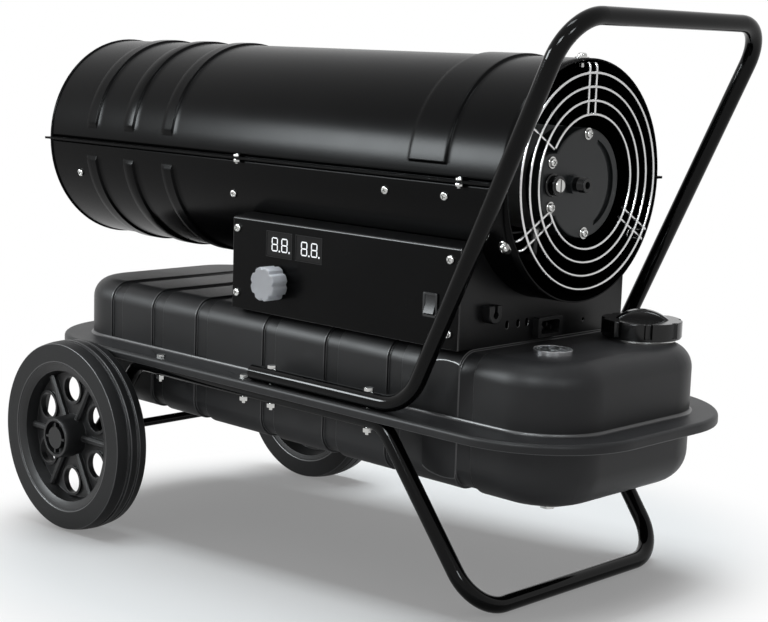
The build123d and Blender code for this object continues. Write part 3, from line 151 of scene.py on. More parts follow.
far_off = tree.nodes.new("ShaderNodeMath")
far_off.operation = "MULTIPLY"
tree.links.new(away.outputs["Result"], far_off.inputs[0])
tree.links.new(seen_directly(tree), far_off.inputs[1])
glow = tree.nodes.new("ShaderNodeEmission")
glow.inputs["Color"].default_value = WHITE
glow.inputs["Strength"].default_value = 1.0
choose = tree.nodes.new("ShaderNodeMixShader")
tree.links.new(far_off.outputs[0], choose.inputs[0])
tree.links.new(lit.outputs[0], choose.inputs[1])
tree.links.new(glow.outputs[0], choose.inputs[2])
tree.links.new(choose.outputs[0], tree.nodes["Material Output"].inputs["Surface"])
floor_mesh.materials.append(paper)
print("floor", FLOOR_SIZE, "m wide, white from", PAPER_FAR, "m out")


# %% [markdown]
# ## The lamps
# One large lamp hangs high above and lights the dull surfaces, so the shadow lies under the heater. The other four
# only show in mirror images: one above for the upper edges, one at the outlet end for the bright band along the
# barrel, one in front for the tank's round corner, and one at the inlet end that carries that highlight round it.

# %% Lamps
COOL = (0.94, 1.0, 1.03)


def softbox(name, place, target, width, height, power, mirrored, shines):
    """A flat soft lamp, in metres and watts, that shows in mirror images, lights dull surfaces, or both."""
    data = bpy.data.lights.new(name, "AREA")
    data.shape = "RECTANGLE"
    data.size = width
    data.size_y = height
    data.energy = power
    data.color = COOL
    lamp = bpy.data.objects.new(name, data)
    lamp.location = place
    lamp.rotation_euler = (Vector(target) - Vector(place)).to_track_quat("-Z", "Y").to_euler()
    lamp.visible_glossy = mirrored
    lamp.visible_diffuse = shines
    bpy.context.scene.collection.objects.link(lamp)
    print(name, round(power / (pi * width * height), 1), "W per square metre and steradian")


softbox("top_lamp", (0.0, 0.2, 2.4), (0.0, 0.0, 0.2), 1.6, 1.3, 62, mirrored=False, shines=True)
softbox("edge_lamp", (0.1, -0.75, 2.6), (0.1, 0.0, 0.3), 1.0, 0.4, 18, mirrored=True, shines=False)
softbox("band_lamp", (-1.38, -1.9, 1.27), (0.25, 0.0, 0.5), 0.9, 0.6, 70, mirrored=True, shines=False)
softbox("corner_lamp", (0.87, -2.2, 1.55), (0.36, -0.14, 0.3), 0.7, 0.5, 38, mirrored=True, shines=False)
softbox("end_lamp", (2.29, -1.14, 1.3), (0.45, -0.15, 0.33), 0.5, 0.4, 16, mirrored=True, shines=False)

# %% [markdown]
# ## Finishes
# Each finish is one shader with three layers of detail: a colour that drifts over patches, a roughness that drifts
# with it, and a fine grain in the skin. Enamel gets a soft orange peel a few millimetres wide, moulded plastic and
# rubber a much finer one. The black parts stay dark because their mirror level is low, not because they are dull.

# %% Finishes
PORE_DEPTH = 0.2


def finish(name, colour, roughness, metal=0.0, specular=0.5, spread=0.15, rough_spread=0.12, grain=0.0,
           grain_size=0.6, patch_size=60.0, clear=0.0):
    """A surface whose colour and roughness drift over patches and whose skin has a fine grain. Sizes are in mm."""
    made = bpy.data.materials.new(name)
    made.use_nodes = True
    tree = made.node_tree
    skin = tree.nodes["Principled BSDF"]
    place = tree.nodes.new("ShaderNodeTexCoord")
    patches = tree.nodes.new("ShaderNodeTexNoise")
    patches.inputs["Scale"].default_value = 1.0 / (patch_size * MM)
    patches.inputs["Detail"].default_value = 4.0
    tree.links.new(place.outputs["Object"], patches.inputs["Vector"])
    tint = tree.nodes.new("ShaderNodeMix")
    tint.data_type = "RGBA"
    tint.inputs[6].default_value = [value * (1 - spread) for value in colour] + [1.0]
    tint.inputs[7].default_value = [min(1.0, value * (1 + spread)) for value in colour] + [1.0]
    tree.links.new(patches.outputs["Fac"], tint.inputs[0])
    tree.links.new(tint.outputs[2], skin.inputs["Base Color"])
    sheen = tree.nodes.new("ShaderNodeMapRange")
    sheen.inputs["To Min"].default_value = roughness * (1 - rough_spread)
    sheen.inputs["To Max"].default_value = roughness * (1 + rough_spread)
    tree.links.new(patches.outputs["Fac"], sheen.inputs["Value"])
    tree.links.new(sheen.outputs["Result"], skin.inputs["Roughness"])
    if grain:
        pores = tree.nodes.new("ShaderNodeTexNoise")
        pores.inputs["Scale"].default_value = 1.0 / (grain_size * MM)
        pores.inputs["Detail"].default_value = 2.0
        tree.links.new(place.outputs["Object"], pores.inputs["Vector"])
        bump = tree.nodes.new("ShaderNodeBump")
        bump.inputs["Strength"].default_value = grain
        bump.inputs["Distance"].default_value = PORE_DEPTH * MM
        tree.links.new(pores.outputs["Fac"], bump.inputs["Height"])
        tree.links.new(bump.outputs["Normal"], skin.inputs["Normal"])
    skin.inputs["Metallic"].default_value = metal
    skin.inputs["Specular IOR Level"].default_value = specular
    skin.inputs["Transmission Weight"].default_value = clear
    return made


FINISHES = {
    "barrel_enamel": finish("barrel_enamel", (0.0015, 0.0015, 0.0017), 0.25, specular=0.06, grain=0.08, grain_size=3.0),
    "tank_enamel": finish("tank_enamel", (0.02, 0.02, 0.0212), 0.44, specular=0.2, grain=0.4, grain_size=0.8),
    "tube_enamel": finish("tube_enamel", (0.002, 0.002, 0.0022), 0.1, specular=0.12, grain=0.05, grain_size=3.0),
    "box_enamel": finish("box_enamel", (0.002, 0.002, 0.0022), 0.26, specular=0.06, grain=0.12, grain_size=2.0),
    "chassis_enamel": finish("chassis_enamel", (0.006, 0.006, 0.0065), 0.34, specular=0.2, grain=0.2, grain_size=1.5),
    "pump_enamel": finish("pump_enamel", (0.011, 0.0125, 0.0135), 0.4, specular=0.3, grain=0.4, grain_size=0.9),
    "wheel_plastic": finish("wheel_plastic", (0.008, 0.008, 0.0085), 0.42, specular=0.3, grain=0.5, grain_size=0.5),
    "tyre_rubber": finish("tyre_rubber", (0.006, 0.006, 0.0064), 0.52, specular=0.2, grain=0.6, grain_size=0.5),
    "zinc_steel": finish("zinc_steel", (0.5, 0.5, 0.49), 0.16, metal=1.0, grain=0.1, patch_size=6),
    "guard_wire": finish("guard_wire", (0.62, 0.62, 0.62), 0.24, metal=1.0, grain=0.05, patch_size=12),
    "burner_steel": finish("burner_steel", (0.42, 0.38, 0.33), 0.42, metal=1.0, spread=0.35, patch_size=40),
    "shield_sheet": finish("shield_sheet", (0.62, 0.62, 0.62), 0.3, metal=1.0, patch_size=25),
    "cast_aluminium": finish("cast_aluminium", (0.5, 0.5, 0.5), 0.5, metal=1.0, grain=0.6, grain_size=0.8),
    "fan_aluminium": finish("fan_aluminium", (0.5, 0.5, 0.52), 0.33, metal=1.0, patch_size=30),
    "carbon": finish("carbon", (0.02, 0.02, 0.02), 0.5, grain=0.3),
    "brass": finish("brass", (0.72, 0.5, 0.2), 0.3, metal=1.0),
    "electrode_ceramic": finish("electrode_ceramic", (0.8, 0.78, 0.72), 0.3),
    "black_plastic": finish("black_plastic", (0.006, 0.006, 0.0065), 0.4, specular=0.3, grain=0.4, grain_size=0.5),
    "cap_plastic": finish("cap_plastic", (0.0035, 0.0035, 0.0038), 0.16, specular=0.3, grain=0.1, grain_size=1.2),
    "knob_plastic": finish("knob_plastic", (0.68, 0.69, 0.73), 0.42, grain=0.3, grain_size=0.5),
    "rocker_plastic": finish("rocker_plastic", (0.02, 0.02, 0.021), 0.35, specular=0.22, grain=0.3, grain_size=0.5),
    "display_window": finish("display_window", (0.003, 0.003, 0.004), 0.07, specular=0.2),
    "circuit_board": finish("circuit_board", (0.02, 0.14, 0.05), 0.45, grain=0.3),
    "capacitor_can": finish("capacitor_can", (0.6, 0.6, 0.6), 0.3, metal=1.0),
    "seal_rubber": finish("seal_rubber", (0.015, 0.015, 0.015), 0.7, grain=0.4),
    "hose_rubber": finish("hose_rubber", (0.012, 0.012, 0.012), 0.5, grain=0.4),
    "float_foam": finish("float_foam", (0.05, 0.05, 0.05), 0.8, grain=0.8),
    "strainer_plastic": finish("strainer_plastic", (0.5, 0.5, 0.48), 0.5, grain=0.3),
    "gauge_lens": finish("gauge_lens", (0.9, 0.92, 0.94), 0.04, spread=0.02, clear=0.95),
    "gauge_plastic": finish("gauge_plastic", (0.5, 0.5, 0.51), 0.25, metal=0.8, grain=0.1),
    "pointer_plastic": finish("pointer_plastic", (0.6, 0.6, 0.6), 0.4),
}
# Painted highlights: edge finishes lighter and glossier than the faces they border, so rounded edges draw light lines.
PAINTED_HIGHLIGHTS = {
    "enamel": finish("enamel_edge_painted_highlight", (0.006, 0.006, 0.0065), 0.24, specular=0.9, grain=0.1, grain_size=1.5),
    "fold": finish("fold_painted_sheen", (0.004, 0.004, 0.0044), 0.34, specular=0.3, grain=0.1, grain_size=1.5),
    "moulding": finish("moulding_edge_painted_highlight", (0.026, 0.026, 0.028), 0.36, specular=0.7, grain=0.3, grain_size=0.8),
}
SLOT_OF = {part["node"]: part["material_slot"] for part in frame["record"]["subparts"]}
for name, solid in nodes.items():
    solid.data.materials.clear()
    solid.data.materials.append(FINISHES[SLOT_OF[name]])
    for polygon in solid.data.polygons:
        polygon.material_index = 0
print("finishes:", len(FINISHES))

# %% [markdown]
# ## Rounded edges
# A solid's edges are sharp, and a sharp edge can't catch the light. Bent sheet, mouldings and castings all have a
# small radius, so a weld joins each solid's facets and a bevel rounds every edge that turns by more than a limit.
# The bevel's own faces get a painted highlight: a finish lighter and glossier than the solid's, so that every bead,
# groove and rim shows as a thin light line. The large faces set the normals at their corners, so that a wall with
# holes shades as flat and only the rounds turn the light. The covers and the chassis are plain folded sheet and are
# shaded face by face, and their upper folds, which face partly up, get a painted sheen. Screws and plugs keep their
# own finish on their edges, with no painted highlight.

# %% Rounded edges
HIGHLIGHT_SLOT, FOLD_SHEEN_SLOT = 1, 2
FACET_WELD = 0.02
ALL_BY_AREA = 100
SHARP_LIMIT, PRESSED_LIMIT = 35.0, 18.0
FOLD_SHEEN_TURN = 0.05


def soften(name, width, edge, segments=2, limit=SHARP_LIMIT, sheet=False, free=False):
    """Round a solid's sharp edges by width, in mm, and give the new faces a painted highlight finish, lighter and
    glossier than the solid's own.

    A sheet is shaded face by face, and a free bevel isn't held back by the shortest edge."""
    solid = nodes[name]
    # The painted highlight finish for the bevel's faces.
    solid.data.materials.append(PAINTED_HIGHLIGHTS[edge])
    weld = solid.modifiers.new("weld", "WELD")
    weld.merge_threshold = FACET_WELD * MM
    bevel = solid.modifiers.new("rounding", "BEVEL")
    bevel.width = width * MM
    bevel.segments = segments
    bevel.limit_method = "ANGLE"
    bevel.angle_limit = radians(limit)
    bevel.material = HIGHLIGHT_SLOT
    bevel.use_clamp_overlap = not free
    if sheet:
        bevel.loop_slide = False
        solid.data.shade_flat()
        return
    flats = solid.modifiers.new("flats", "WEIGHTED_NORMAL")
    flats.mode = "FACE_AREA"
    flats.weight = ALL_BY_AREA
    solid.data.shade_smooth()


for name in ("upper_shell", "lower_shell"):
    soften(name, 0.6, "enamel", limit=PRESSED_LIMIT)
for name in ("tank_upper", "tank_lower"):
    soften(name, 0.9, "moulding", limit=PRESSED_LIMIT, free=True)
for name in ("control_cover", "plain_cover", "chassis"):
    soften(name, 0.5, "enamel", sheet=True)
    # Painted sheen: folds that face partly up get a lighter, glossier finish.
    nodes[name].data.materials.append(PAINTED_HIGHLIGHTS["fold"])
    for polygon in nodes[name].data.polygons:
        level_normal = LEAN.to_3x3().inverted() @ polygon.normal
        if abs(level_normal.y) > FOLD_SHEEN_TURN and level_normal.z > FOLD_SHEEN_TURN:
            polygon.material_index = FOLD_SHEEN_SLOT
for name in ("burner_head", "motor"):
    soften(name, 0.5, "enamel")
for name in ("pump_end_cover", "filler_cap", "wheel_left", "wheel_right", "hub_caps", "tyre_left", "tyre_right"):
    soften(name, 0.8, "moulding", segments=3)
for name in ("switch_rocker", "switch_body", "power_inlet", "cord_clamp", "gauge_body"):
    soften(name, 0.4, "moulding")
for name in ("frame_bolts", "pressure_plug", "drain_plug"):
    soften(name, 0.4, "enamel")
    # Screws and plugs take their own finish in place of the painted highlight.
    nodes[name].data.materials[HIGHLIGHT_SLOT] = FINISHES[SLOT_OF[name]]
print("softened", sum(len(solid.modifiers) > 0 for solid in nodes.values()), "solids")

# %% [markdown]
# ## Tools for small pieces
# The pieces that follow are a list of points and a list of faces, made in the level frame. A turned piece is a
# profile carried round an axis, a prism is an outline with a thickness, and shapes are placed and joined before
# they become one object that rides on a body.

# %% Mesh tools
def turned(profile, sides=32, hollow=False):
    """A shape from (radius, height) pairs carried round Z, bottom first. A hollow one closes on itself."""
    points, rows = [], []
    for radius, height in profile:
        rows.append(list(range(len(points), len(points) + sides)))
        for step in range(sides):
            angle = 2 * pi * step / sides
            points.append(Vector((radius * cos(angle), radius * sin(angle), height)))
    if hollow:
        rows.append(rows[0])
    faces = []
    for low, high in zip(rows, rows[1:]):
        for step in range(sides):
            after = (step + 1) % sides
            faces.append((low[step], low[after], high[after], high[step]))
    if not hollow:
        faces += [tuple(reversed(rows[0])), tuple(rows[-1])]
    return points, faces


def prism(outline, low, high):
    """A flat outline of (x, y) pairs given a thickness along Z."""
    count = len(outline)
    points = [Vector((x, y, z)) for z in (low, high) for x, y in outline]
    faces = [(i, (i + 1) % count, count + (i + 1) % count, count + i) for i in range(count)]
    faces += [tuple(range(count - 1, -1, -1)), tuple(range(count, 2 * count))]
    return points, faces


def placed(shape, matrix):
    """A shape moved by a matrix."""
    points, faces = shape
    return [matrix @ point for point in points], faces


def joined(shapes):
    """Several shapes as one."""
    points, faces = [], []
    for more_points, more_faces in shapes:
        start = len(points)
        points += more_points
        faces += [tuple(start + index for index in face) for face in more_faces]
    return points, faces


def facing(origin, outward, spin=0.0):
    """A place whose Z axis points outward."""
    turn = Vector(outward).to_track_quat("Z", "Y").to_matrix().to_4x4()
    return Matrix.Translation(origin) @ turn @ Matrix.Rotation(radians(spin), 4, "Z")


def new_piece(name, shape, finish_name, body, replaced=(), smooth=40.0):
    """An object from a level shape, with its finish, riding on a body and standing for the named solids."""
    points, faces = shape
    mesh = bpy.data.meshes.new(name)
    mesh.from_pydata([LEVEL @ point for point in points], [], faces)
    mesh.validate()
    mesh.materials.append(FINISHES[finish_name])
    mesh.shade_smooth()
    mesh.set_sharp_from_angle(angle=radians(smooth))
    piece = bpy.data.objects.new(name, mesh)
    bpy.context.scene.collection.objects.link(piece)
    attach(piece, body)
    if replaced:
        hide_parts(*replaced)
    print(name, len(points), "points")
    return piece


# %% [markdown]
# ## Screws
# The bright zinc screws are the only light points on the black body, so their cross recesses show. A head is a grid
# in rings and spokes whose points sink where they fall inside the cross, which needs no cutting tool and gives the
# recess soft walls. The same head serves every group, with a nut or a washer where the real one has it.

# %% Screw shapes
HEAD_RINGS = ((1.0, 0.0), (1.0, 0.42), (0.95, 0.66), (0.84, 0.84), (0.68, 0.95), (0.6, 0.98), (0.5, 1.0), (0.4, 1.0),
              (0.3, 1.0), (0.2, 1.0), (0.1, 1.0))
RECESS_REACH, RECESS_HALF, RECESS_DEPTH = 0.56, 0.15, 0.6
RECESS_WIDE, RECESS_TAPER, RECESS_SLOPE = 1.1, 0.35, 0.5
NUT_ROWS = ((0.9, 0.0), (1.0, -0.12), (1.0, -0.88), (0.9, -1.0))
NUT_SIDES, BOLT_PAST_NUT = 6, 1.5
SPOKES, SHANK_SIDES = 48, 16


def cross_head(radius, height, shank, length):
    """A pan head with a cross recess, standing on Z = 0, and its shank below."""
    points, faces = [], []
    for part, rise in HEAD_RINGS:
        for step in range(SPOKES):
            angle = 2 * pi * step / SPOKES
            x, y = part * cos(angle), part * sin(angle)
            narrow, long = sorted((abs(x), abs(y)))
            arm = RECESS_HALF * (RECESS_WIDE - long / RECESS_REACH * RECESS_TAPER)
            sink = RECESS_DEPTH * (1 - RECESS_SLOPE * long) if narrow < arm and long < RECESS_REACH else 0.0
            points.append(Vector((x * radius, y * radius, (rise - sink) * height)))
    for ring in range(len(HEAD_RINGS) - 1):
        for step in range(SPOKES):
            after = (step + 1) % SPOKES
            low, high = ring * SPOKES, (ring + 1) * SPOKES
            faces.append((low + step, low + after, high + after, high + step))
    faces.append(tuple(range(len(points) - SPOKES, len(points))))
    faces.append(tuple(reversed(range(SPOKES))))
    return joined([(points, faces), turned([(shank, -length), (shank, 0.0)], SHANK_SIDES)])


def hex_nut(across, height, bore):
    """A hexagonal nut with turned corners, hanging below Z = 0."""
    corner = across / sqrt(3)
    points = [Vector((part * corner * cos(2 * pi * i / NUT_SIDES), part * corner * sin(2 * pi * i / NUT_SIDES),
                      drop * height)) for part, drop in NUT_ROWS for i in range(NUT_SIDES)]
    faces = []
    for row in range(len(NUT_ROWS) - 1):
        low, high = row * NUT_SIDES, (row + 1) * NUT_SIDES
        for i in range(NUT_SIDES):
            after = (i + 1) % NUT_SIDES
            faces.append((low + after, low + i, high + i, high + after))
    faces += [tuple(range(NUT_SIDES)), tuple(reversed(range(len(points) - NUT_SIDES, len(points))))]
    stub = turned([(bore, -height - BOLT_PAST_NUT), (bore, -height)], SHANK_SIDES)
    return joined([(points, faces), stub])


def washer(radius, small, thickness, chamfer):
    """A flat washer with turned edges, standing on Z = 0."""
    return turned([(small, 0.0), (radius, chamfer), (radius, thickness - chamfer), (small, thickness)])


print("a head has", len(HEAD_RINGS) * SPOKES, "points")

# %% [markdown]
# ## Where the screws sit
# The casing screws go in on both sides: radially through the barrel, and straight through the box covers. The seam
# screws stand on the seam flanges with a nut below, the guard screws point at the barrel's axis through a washer, and
# the pump screws face the inlet. Heads are radius, height, shank and length, and washers are radius, inner edge of the
# chamfer, thickness and chamfer height.

# %% Where the screws sit
CASING_HEAD, SEAM_HEAD = (5.4, 3.4, 2.4, 6.0), (4.6, 3.4, 2.4, 9.0)
GUARD_HEAD, PUMP_HEAD = (5.6, 4.6, 2.6, 12.0), (5.2, 3.6, 2.4, 11.9)
SEAM_NUT = (7.5, 4.0, 2.4)
GUARD_WASHER, PUMP_WASHER = (8.5, 8.2, 1.4, 0.3), (7.0, 6.8, 1.2, 0.2)
BARREL_R, BARREL_Z = 141.0, 521.0
CHAMBER_SCREWS = ((-364.0, -46.0), (-32.0, -48.0))
BRACKET_SCREWS = ((246.0, -20.0), (340.0, -19.0))
BOX_Y = 154.0
COVER_SCREWS = ((2.0, 433.0), (2.0, 350.0), (366.0, 433.0), (366.0, 348.0))
SEAM_SCREWS_X, SEAM_SCREW_Y, SEAM_SHEET = (-12.0, 367.0), 146.25, 1.5
GUARD_SCREW_X, GUARD_SCREW_DEG = 418.0, (90.0, 210.0, 330.0)
COVER_FACE_X, COVER_Z = 431.0, 519.0
PUMP_SCREWS = ((1.5, 57.0), (-62.5, 25.5), (-62.5, -25.5), (1.5, -58.0))

casing, seams, guards, pumps = [], [], [], []
for side in (-1, 1):
    for x, z in CHAMBER_SCREWS + BRACKET_SCREWS:
        y = side * sqrt(BARREL_R ** 2 - z ** 2)
        spot = facing((x, y, BARREL_Z + z), (0, y, z), spin=x)
        casing.append(placed(cross_head(*CASING_HEAD), spot))
    for x, z in COVER_SCREWS:
        spot = facing((x, side * BOX_Y, z), (0, side, 0), spin=3 * z)
        casing.append(placed(cross_head(*CASING_HEAD), spot))
    for x in SEAM_SCREWS_X:
        top = Matrix.Translation((x, side * SEAM_SCREW_Y, BARREL_Z + SEAM_SHEET))
        low = Matrix.Translation((x, side * SEAM_SCREW_Y, BARREL_Z - SEAM_SHEET))
        seams.append(placed(cross_head(*SEAM_HEAD), top))
        seams.append(placed(hex_nut(*SEAM_NUT), low))
for deg in GUARD_SCREW_DEG:
    y, z = cos(radians(deg)), sin(radians(deg))
    spot = facing((GUARD_SCREW_X, BARREL_R * y, BARREL_Z + BARREL_R * z), (0, y, z), spin=deg / 3)
    guards.append(placed(washer(*GUARD_WASHER), spot))
    guards.append(placed(cross_head(*GUARD_HEAD), spot @ Matrix.Translation((0, 0, GUARD_WASHER[2]))))
for y, z in PUMP_SCREWS:
    spot = facing((COVER_FACE_X, y, COVER_Z + z), (1, 0, 0), spin=20 + z)
    pumps.append(placed(washer(*PUMP_WASHER), spot))
    pumps.append(placed(cross_head(*PUMP_HEAD), spot @ Matrix.Translation((0, 0, PUMP_WASHER[2]))))

new_piece("dressed_casing_screws", joined(casing), "zinc_steel", "heater", ["casing_screws"])
new_piece("dressed_seam_screws", joined(seams), "zinc_steel", "heater", ["seam_screws"])
new_piece("dressed_guard_screws", joined(guards), "zinc_steel", "heater", ["guard_screws"])
new_piece("dressed_pump_screws", joined(pumps), "zinc_steel", "heater", ["pump_screws"])

# %% [markdown]
# ## The lit digits
# Two small displays each show two figures with their points. A seven-bar figure is seven short hexagons, so one
# bar shape and a table of where the bars lie make every digit. They lie a hair in front of the smoked window.

# %% Digits and bezels
WINDOW_X, WINDOW_Z, WINDOW_SIZE = (79.5, 133.0), 419.0, (46.0, 31.0)
DIGIT_W, DIGIT_H, STROKE = 11.2, 17.6, 1.5
DIGIT_X = (-8.2, 9.6)
DOT_X, DOT_HALF = (0.6, 18.3), 1.1
BAR_GAP = 0.35
WINDOW_SINK, DIGIT_DEPTH = 0.3, 0.25
WINDOW_FACE = BOX_Y - WINDOW_SINK


def bar(x0, z0, x1, z1):
    """One lit bar with pointed ends, between two corners of the figure."""
    run = Vector((x1 - x0, z1 - z0)).normalized()
    side = Vector((-run.y, run.x)) * STROKE / 2
    start = Vector((x0, z0)) + run * BAR_GAP
    stop = Vector((x1, z1)) - run * BAR_GAP
    near, far = start + run * STROKE / 2, stop - run * STROKE / 2
    return [start, near - side, far - side, stop, far + side, near + side]


def upright(outline, x, z, y_low, y_high):
    """A prism drawn in (X, Z) about x and z, on the control side."""
    points, faces = prism(outline, y_low, y_high)
    return [Vector((x + point.x, -point.z, z + point.y)) for point in points], faces


def box_outline(half_x, half_z):
    """A rectangle's corners from its half sizes."""
    return [(-half_x, -half_z), (half_x, -half_z), (half_x, half_z), (-half_x, half_z)]


w, h = (DIGIT_W - STROKE) / 2, (DIGIT_H - STROKE) / 2
BARS = ((-w, h, w, h), (-w, 0, w, 0), (-w, -h, w, -h), (-w, 0, -w, h), (w, 0, w, h), (-w, -h, -w, 0), (w, -h, w, 0))
lit = []
for window in WINDOW_X:
    for x in DIGIT_X:
        for ends in BARS:
            lit.append(upright(bar(*ends), window + x, WINDOW_Z, WINDOW_FACE, WINDOW_FACE + DIGIT_DEPTH))
    for x in DOT_X:
        square = box_outline(DOT_HALF, DOT_HALF)
        lit.append(upright(square, window + x, WINDOW_Z - h, WINDOW_FACE, WINDOW_FACE + DIGIT_DEPTH))

glowing = finish("lit_digits", (0.9, 0.92, 0.95), 0.5)
skin = glowing.node_tree.nodes["Principled BSDF"]
skin.inputs["Emission Color"].default_value = (0.95, 0.97, 1.0, 1.0)
skin.inputs["Emission Strength"].default_value = 0.7
digits = new_piece("display_digits", joined(lit), "display_window", "heater")
digits.data.materials[0] = glowing

rims = []
BEZEL_W, BEZEL_RISE, BEZEL_SINK = 0.7, 0.25, 0.2
for window in WINDOW_X:
    for dx, dz in ((1, 0), (-1, 0), (0, 1), (0, -1)):
        long_x = WINDOW_SIZE[0] / 2 + BEZEL_W if dx == 0 else BEZEL_W / 2
        long_z = WINDOW_SIZE[1] / 2 if dz == 0 else BEZEL_W / 2
        x = window + dx * (WINDOW_SIZE[0] + BEZEL_W) / 2
        z = WINDOW_Z + dz * (WINDOW_SIZE[1] + BEZEL_W) / 2
        rims.append(upright(box_outline(long_x, long_z), x, z, BOX_Y - BEZEL_SINK, BOX_Y + BEZEL_RISE))
rim_grey = finish("bezel_grey", (0.007, 0.007, 0.0075), 0.35, specular=0.2, grain=0.2, grain_size=0.6)
bezels = new_piece("display_bezels", joined(rims), "black_plastic", "heater")
bezels.data.materials[0] = rim_grey

# %% [markdown]
# ## The barrel's skin
# The two half shells are pressed from one thickness of sheet, and under gloss enamel every flaw in a curve shows. The
# solids' facets are long and thin there, so the painted skin is drawn again as one fine grid over each half: a radius
# that depends on the place along the barrel and on the angle round it. Beads and band rise through soft shoulders,
# and the grid is dense only where they are. The skin stands a quarter of a millimetre off the steel, as a coat of
# enamel does. A form is where it starts and ends along the barrel, in mm, and then the angle from the seam at which it
# is full and the angle over which it fades in, in degrees.

# %% Barrel skin
OUTLET_X, INLET_X = -427.0, 433.0
OUTLET_GAP, INLET_GAP = 0.05, 1.0
SKIN, COAT, SHOULDER, RISE = 0.25, 0.2, 2.8, 3.0
BEAD_X, BEAD_HALF, BEAD_END, BEAD_FADE = (-329.0, -246.0, -162.0), 12.3, 11.0, 3.5
BEADS = [(x - BEAD_HALF, x + BEAD_HALF, BEAD_END, BEAD_FADE) for x in BEAD_X]
BAND = [(281.5, 342.5, 8.0, 1.2)]
SEAM_CLEAR, LIP = 0.75, 1.6
COARSE_ALONG, COARSE_AROUND = 12.0, 2.0
HOSE_SLOTS, HOSE_SLOT_HALF = ((2.0, 42.0), (296.0, 328.0)), 26.0
FINE_STEPS = 10


def ramp(value):
    """Nought to one with soft ends."""
    value = min(1.0, max(0.0, value))
    return value * value * (3 - 2 * value)


def skin_radius(x, angle, forms):
    """The barrel's radius at a place along it and an angle in degrees up from a seam."""
    from_seam = min(angle, 180.0 - angle)
    rise = 0.0
    for low, high, end, fade in forms:
        along = min(ramp((x - low) / SHOULDER), ramp((high - x) / SHOULDER))
        rise += RISE * along * ramp((from_seam - end + fade) / fade)
    past_lip = min(1.0, max(0.0, (OUTLET_X + LIP - x) / LIP))
    return BARREL_R + SKIN + rise - LIP * (1 - sqrt(1 - past_lip ** 2))


def spread(low, high, coarse, marks, reach):
    """Places from low to high, a coarse step apart, with fine steps for a reach on from each mark."""
    count = int((high - low) / coarse) + 1
    places = {round(low + (high - low) * step / count, 3) for step in range(count + 1)}
    for mark in marks:
        places |= {round(mark + reach * step / FINE_STEPS, 3) for step in range(FINE_STEPS + 1)}
    return sorted(place for place in places if low <= place <= high)


def barrel_skin(name, forms, side):
    """One half of the skin: side is 1 above the seams and -1 below them."""
    feet = [low for low, high, end, fade in forms] + [high - SHOULDER for low, high, end, fade in forms]
    start = OUTLET_X + OUTLET_GAP
    along = spread(start, INLET_X - INLET_GAP, COARSE_ALONG, [start] + feet, SHOULDER)
    ends = [end - fade for low, high, end, fade in forms] + [180 - end for low, high, end, fade in forms]
    around = spread(SEAM_CLEAR, 180 - SEAM_CLEAR, COARSE_AROUND, ends, forms[0][3])
    points, faces = [], []
    for x in along:
        for angle in around:
            radius = skin_radius(x, angle, forms)
            turn = radians(angle)
            points.append(Vector((x, side * radius * cos(turn), BARREL_Z + side * radius * sin(turn))))
    for row in range(len(along) - 1):
        for step in range(len(around) - 1):
            near = row * len(around) + step
            far = near + len(around)
            middle = (points[near] + points[far + 1]) / 2
            in_slot = any(low < middle.x < high for low, high in HOSE_SLOTS) and abs(middle.y) < HOSE_SLOT_HALF
            if side > 0 or not in_slot:
                faces.append((near, near + 1, far + 1, far))
    skin = new_piece(name, (points, faces), "barrel_enamel", "heater")
    coat = skin.modifiers.new("coat", "SOLIDIFY")
    coat.thickness = COAT * MM
    coat.offset = -1


barrel_skin("upper_barrel_skin", BEADS + BAND, 1)
barrel_skin("lower_barrel_skin", BEADS, -1)

# %% [markdown]
# ## The knob
# The thermostat knob is a light grey moulding with eight soft lobes. Its outline is one formula: a circle that a
# cosine presses in, narrow at the flutes and broad on the lobes. Rings of that outline step in at the front edge, so
# the rim is rounded, and the same rings make the slightly dished face.

# %% Knob
KNOB_X, KNOB_Z = 77.5, 371.5
KNOB_R, KNOB_LOBES, KNOB_FLUTE = 21.5, 8, 2.4
KNOB_LOBE_POWER = 1.4
KNOB_BACK, KNOB_FRONT = 156.0, 180.0
KNOB_CHAMFER, KNOB_ROUND, ROUND_TURNS = 0.6, 1.6, (0, 22, 45, 68, 90)
KNOB_DISH = ((3.0, 0.1), (6.0, 0.5), (12.0, 0.7))
KNOB_STEPS = 160


def knob_ring(shrink, reach):
    """One ring of the lobed outline, pulled in by shrink, at a distance out from the box."""
    ring = []
    for step in range(KNOB_STEPS):
        angle = 2 * pi * step / KNOB_STEPS
        pressed = max(0.0, cos(KNOB_LOBES * angle)) ** KNOB_LOBE_POWER
        radius = KNOB_R - KNOB_FLUTE * pressed - shrink
        ring.append(Vector((KNOB_X + radius * cos(angle), -reach, KNOB_Z + radius * sin(angle))))
    return ring


rings = [knob_ring(KNOB_CHAMFER, KNOB_BACK), knob_ring(0.0, KNOB_BACK + KNOB_CHAMFER)]
rings += [knob_ring(KNOB_ROUND * (1 - cos(radians(turn))), KNOB_FRONT - KNOB_ROUND * (1 - sin(radians(turn))))
          for turn in ROUND_TURNS]
rings += [knob_ring(shrink, KNOB_FRONT - dip) for shrink, dip in KNOB_DISH]
points = [point for ring in rings for point in ring]
faces = [(row * KNOB_STEPS + step, row * KNOB_STEPS + (step + 1) % KNOB_STEPS,
          (row + 1) * KNOB_STEPS + (step + 1) % KNOB_STEPS, (row + 1) * KNOB_STEPS + step)
         for row in range(len(rings) - 1) for step in range(KNOB_STEPS)]
faces += [tuple(range(KNOB_STEPS - 1, -1, -1)), tuple(range(len(points) - KNOB_STEPS, len(points)))]
new_piece("dressed_knob", (points, faces), "knob_plastic", "thermostat_knob", ["thermostat_knob"], smooth=50.0)

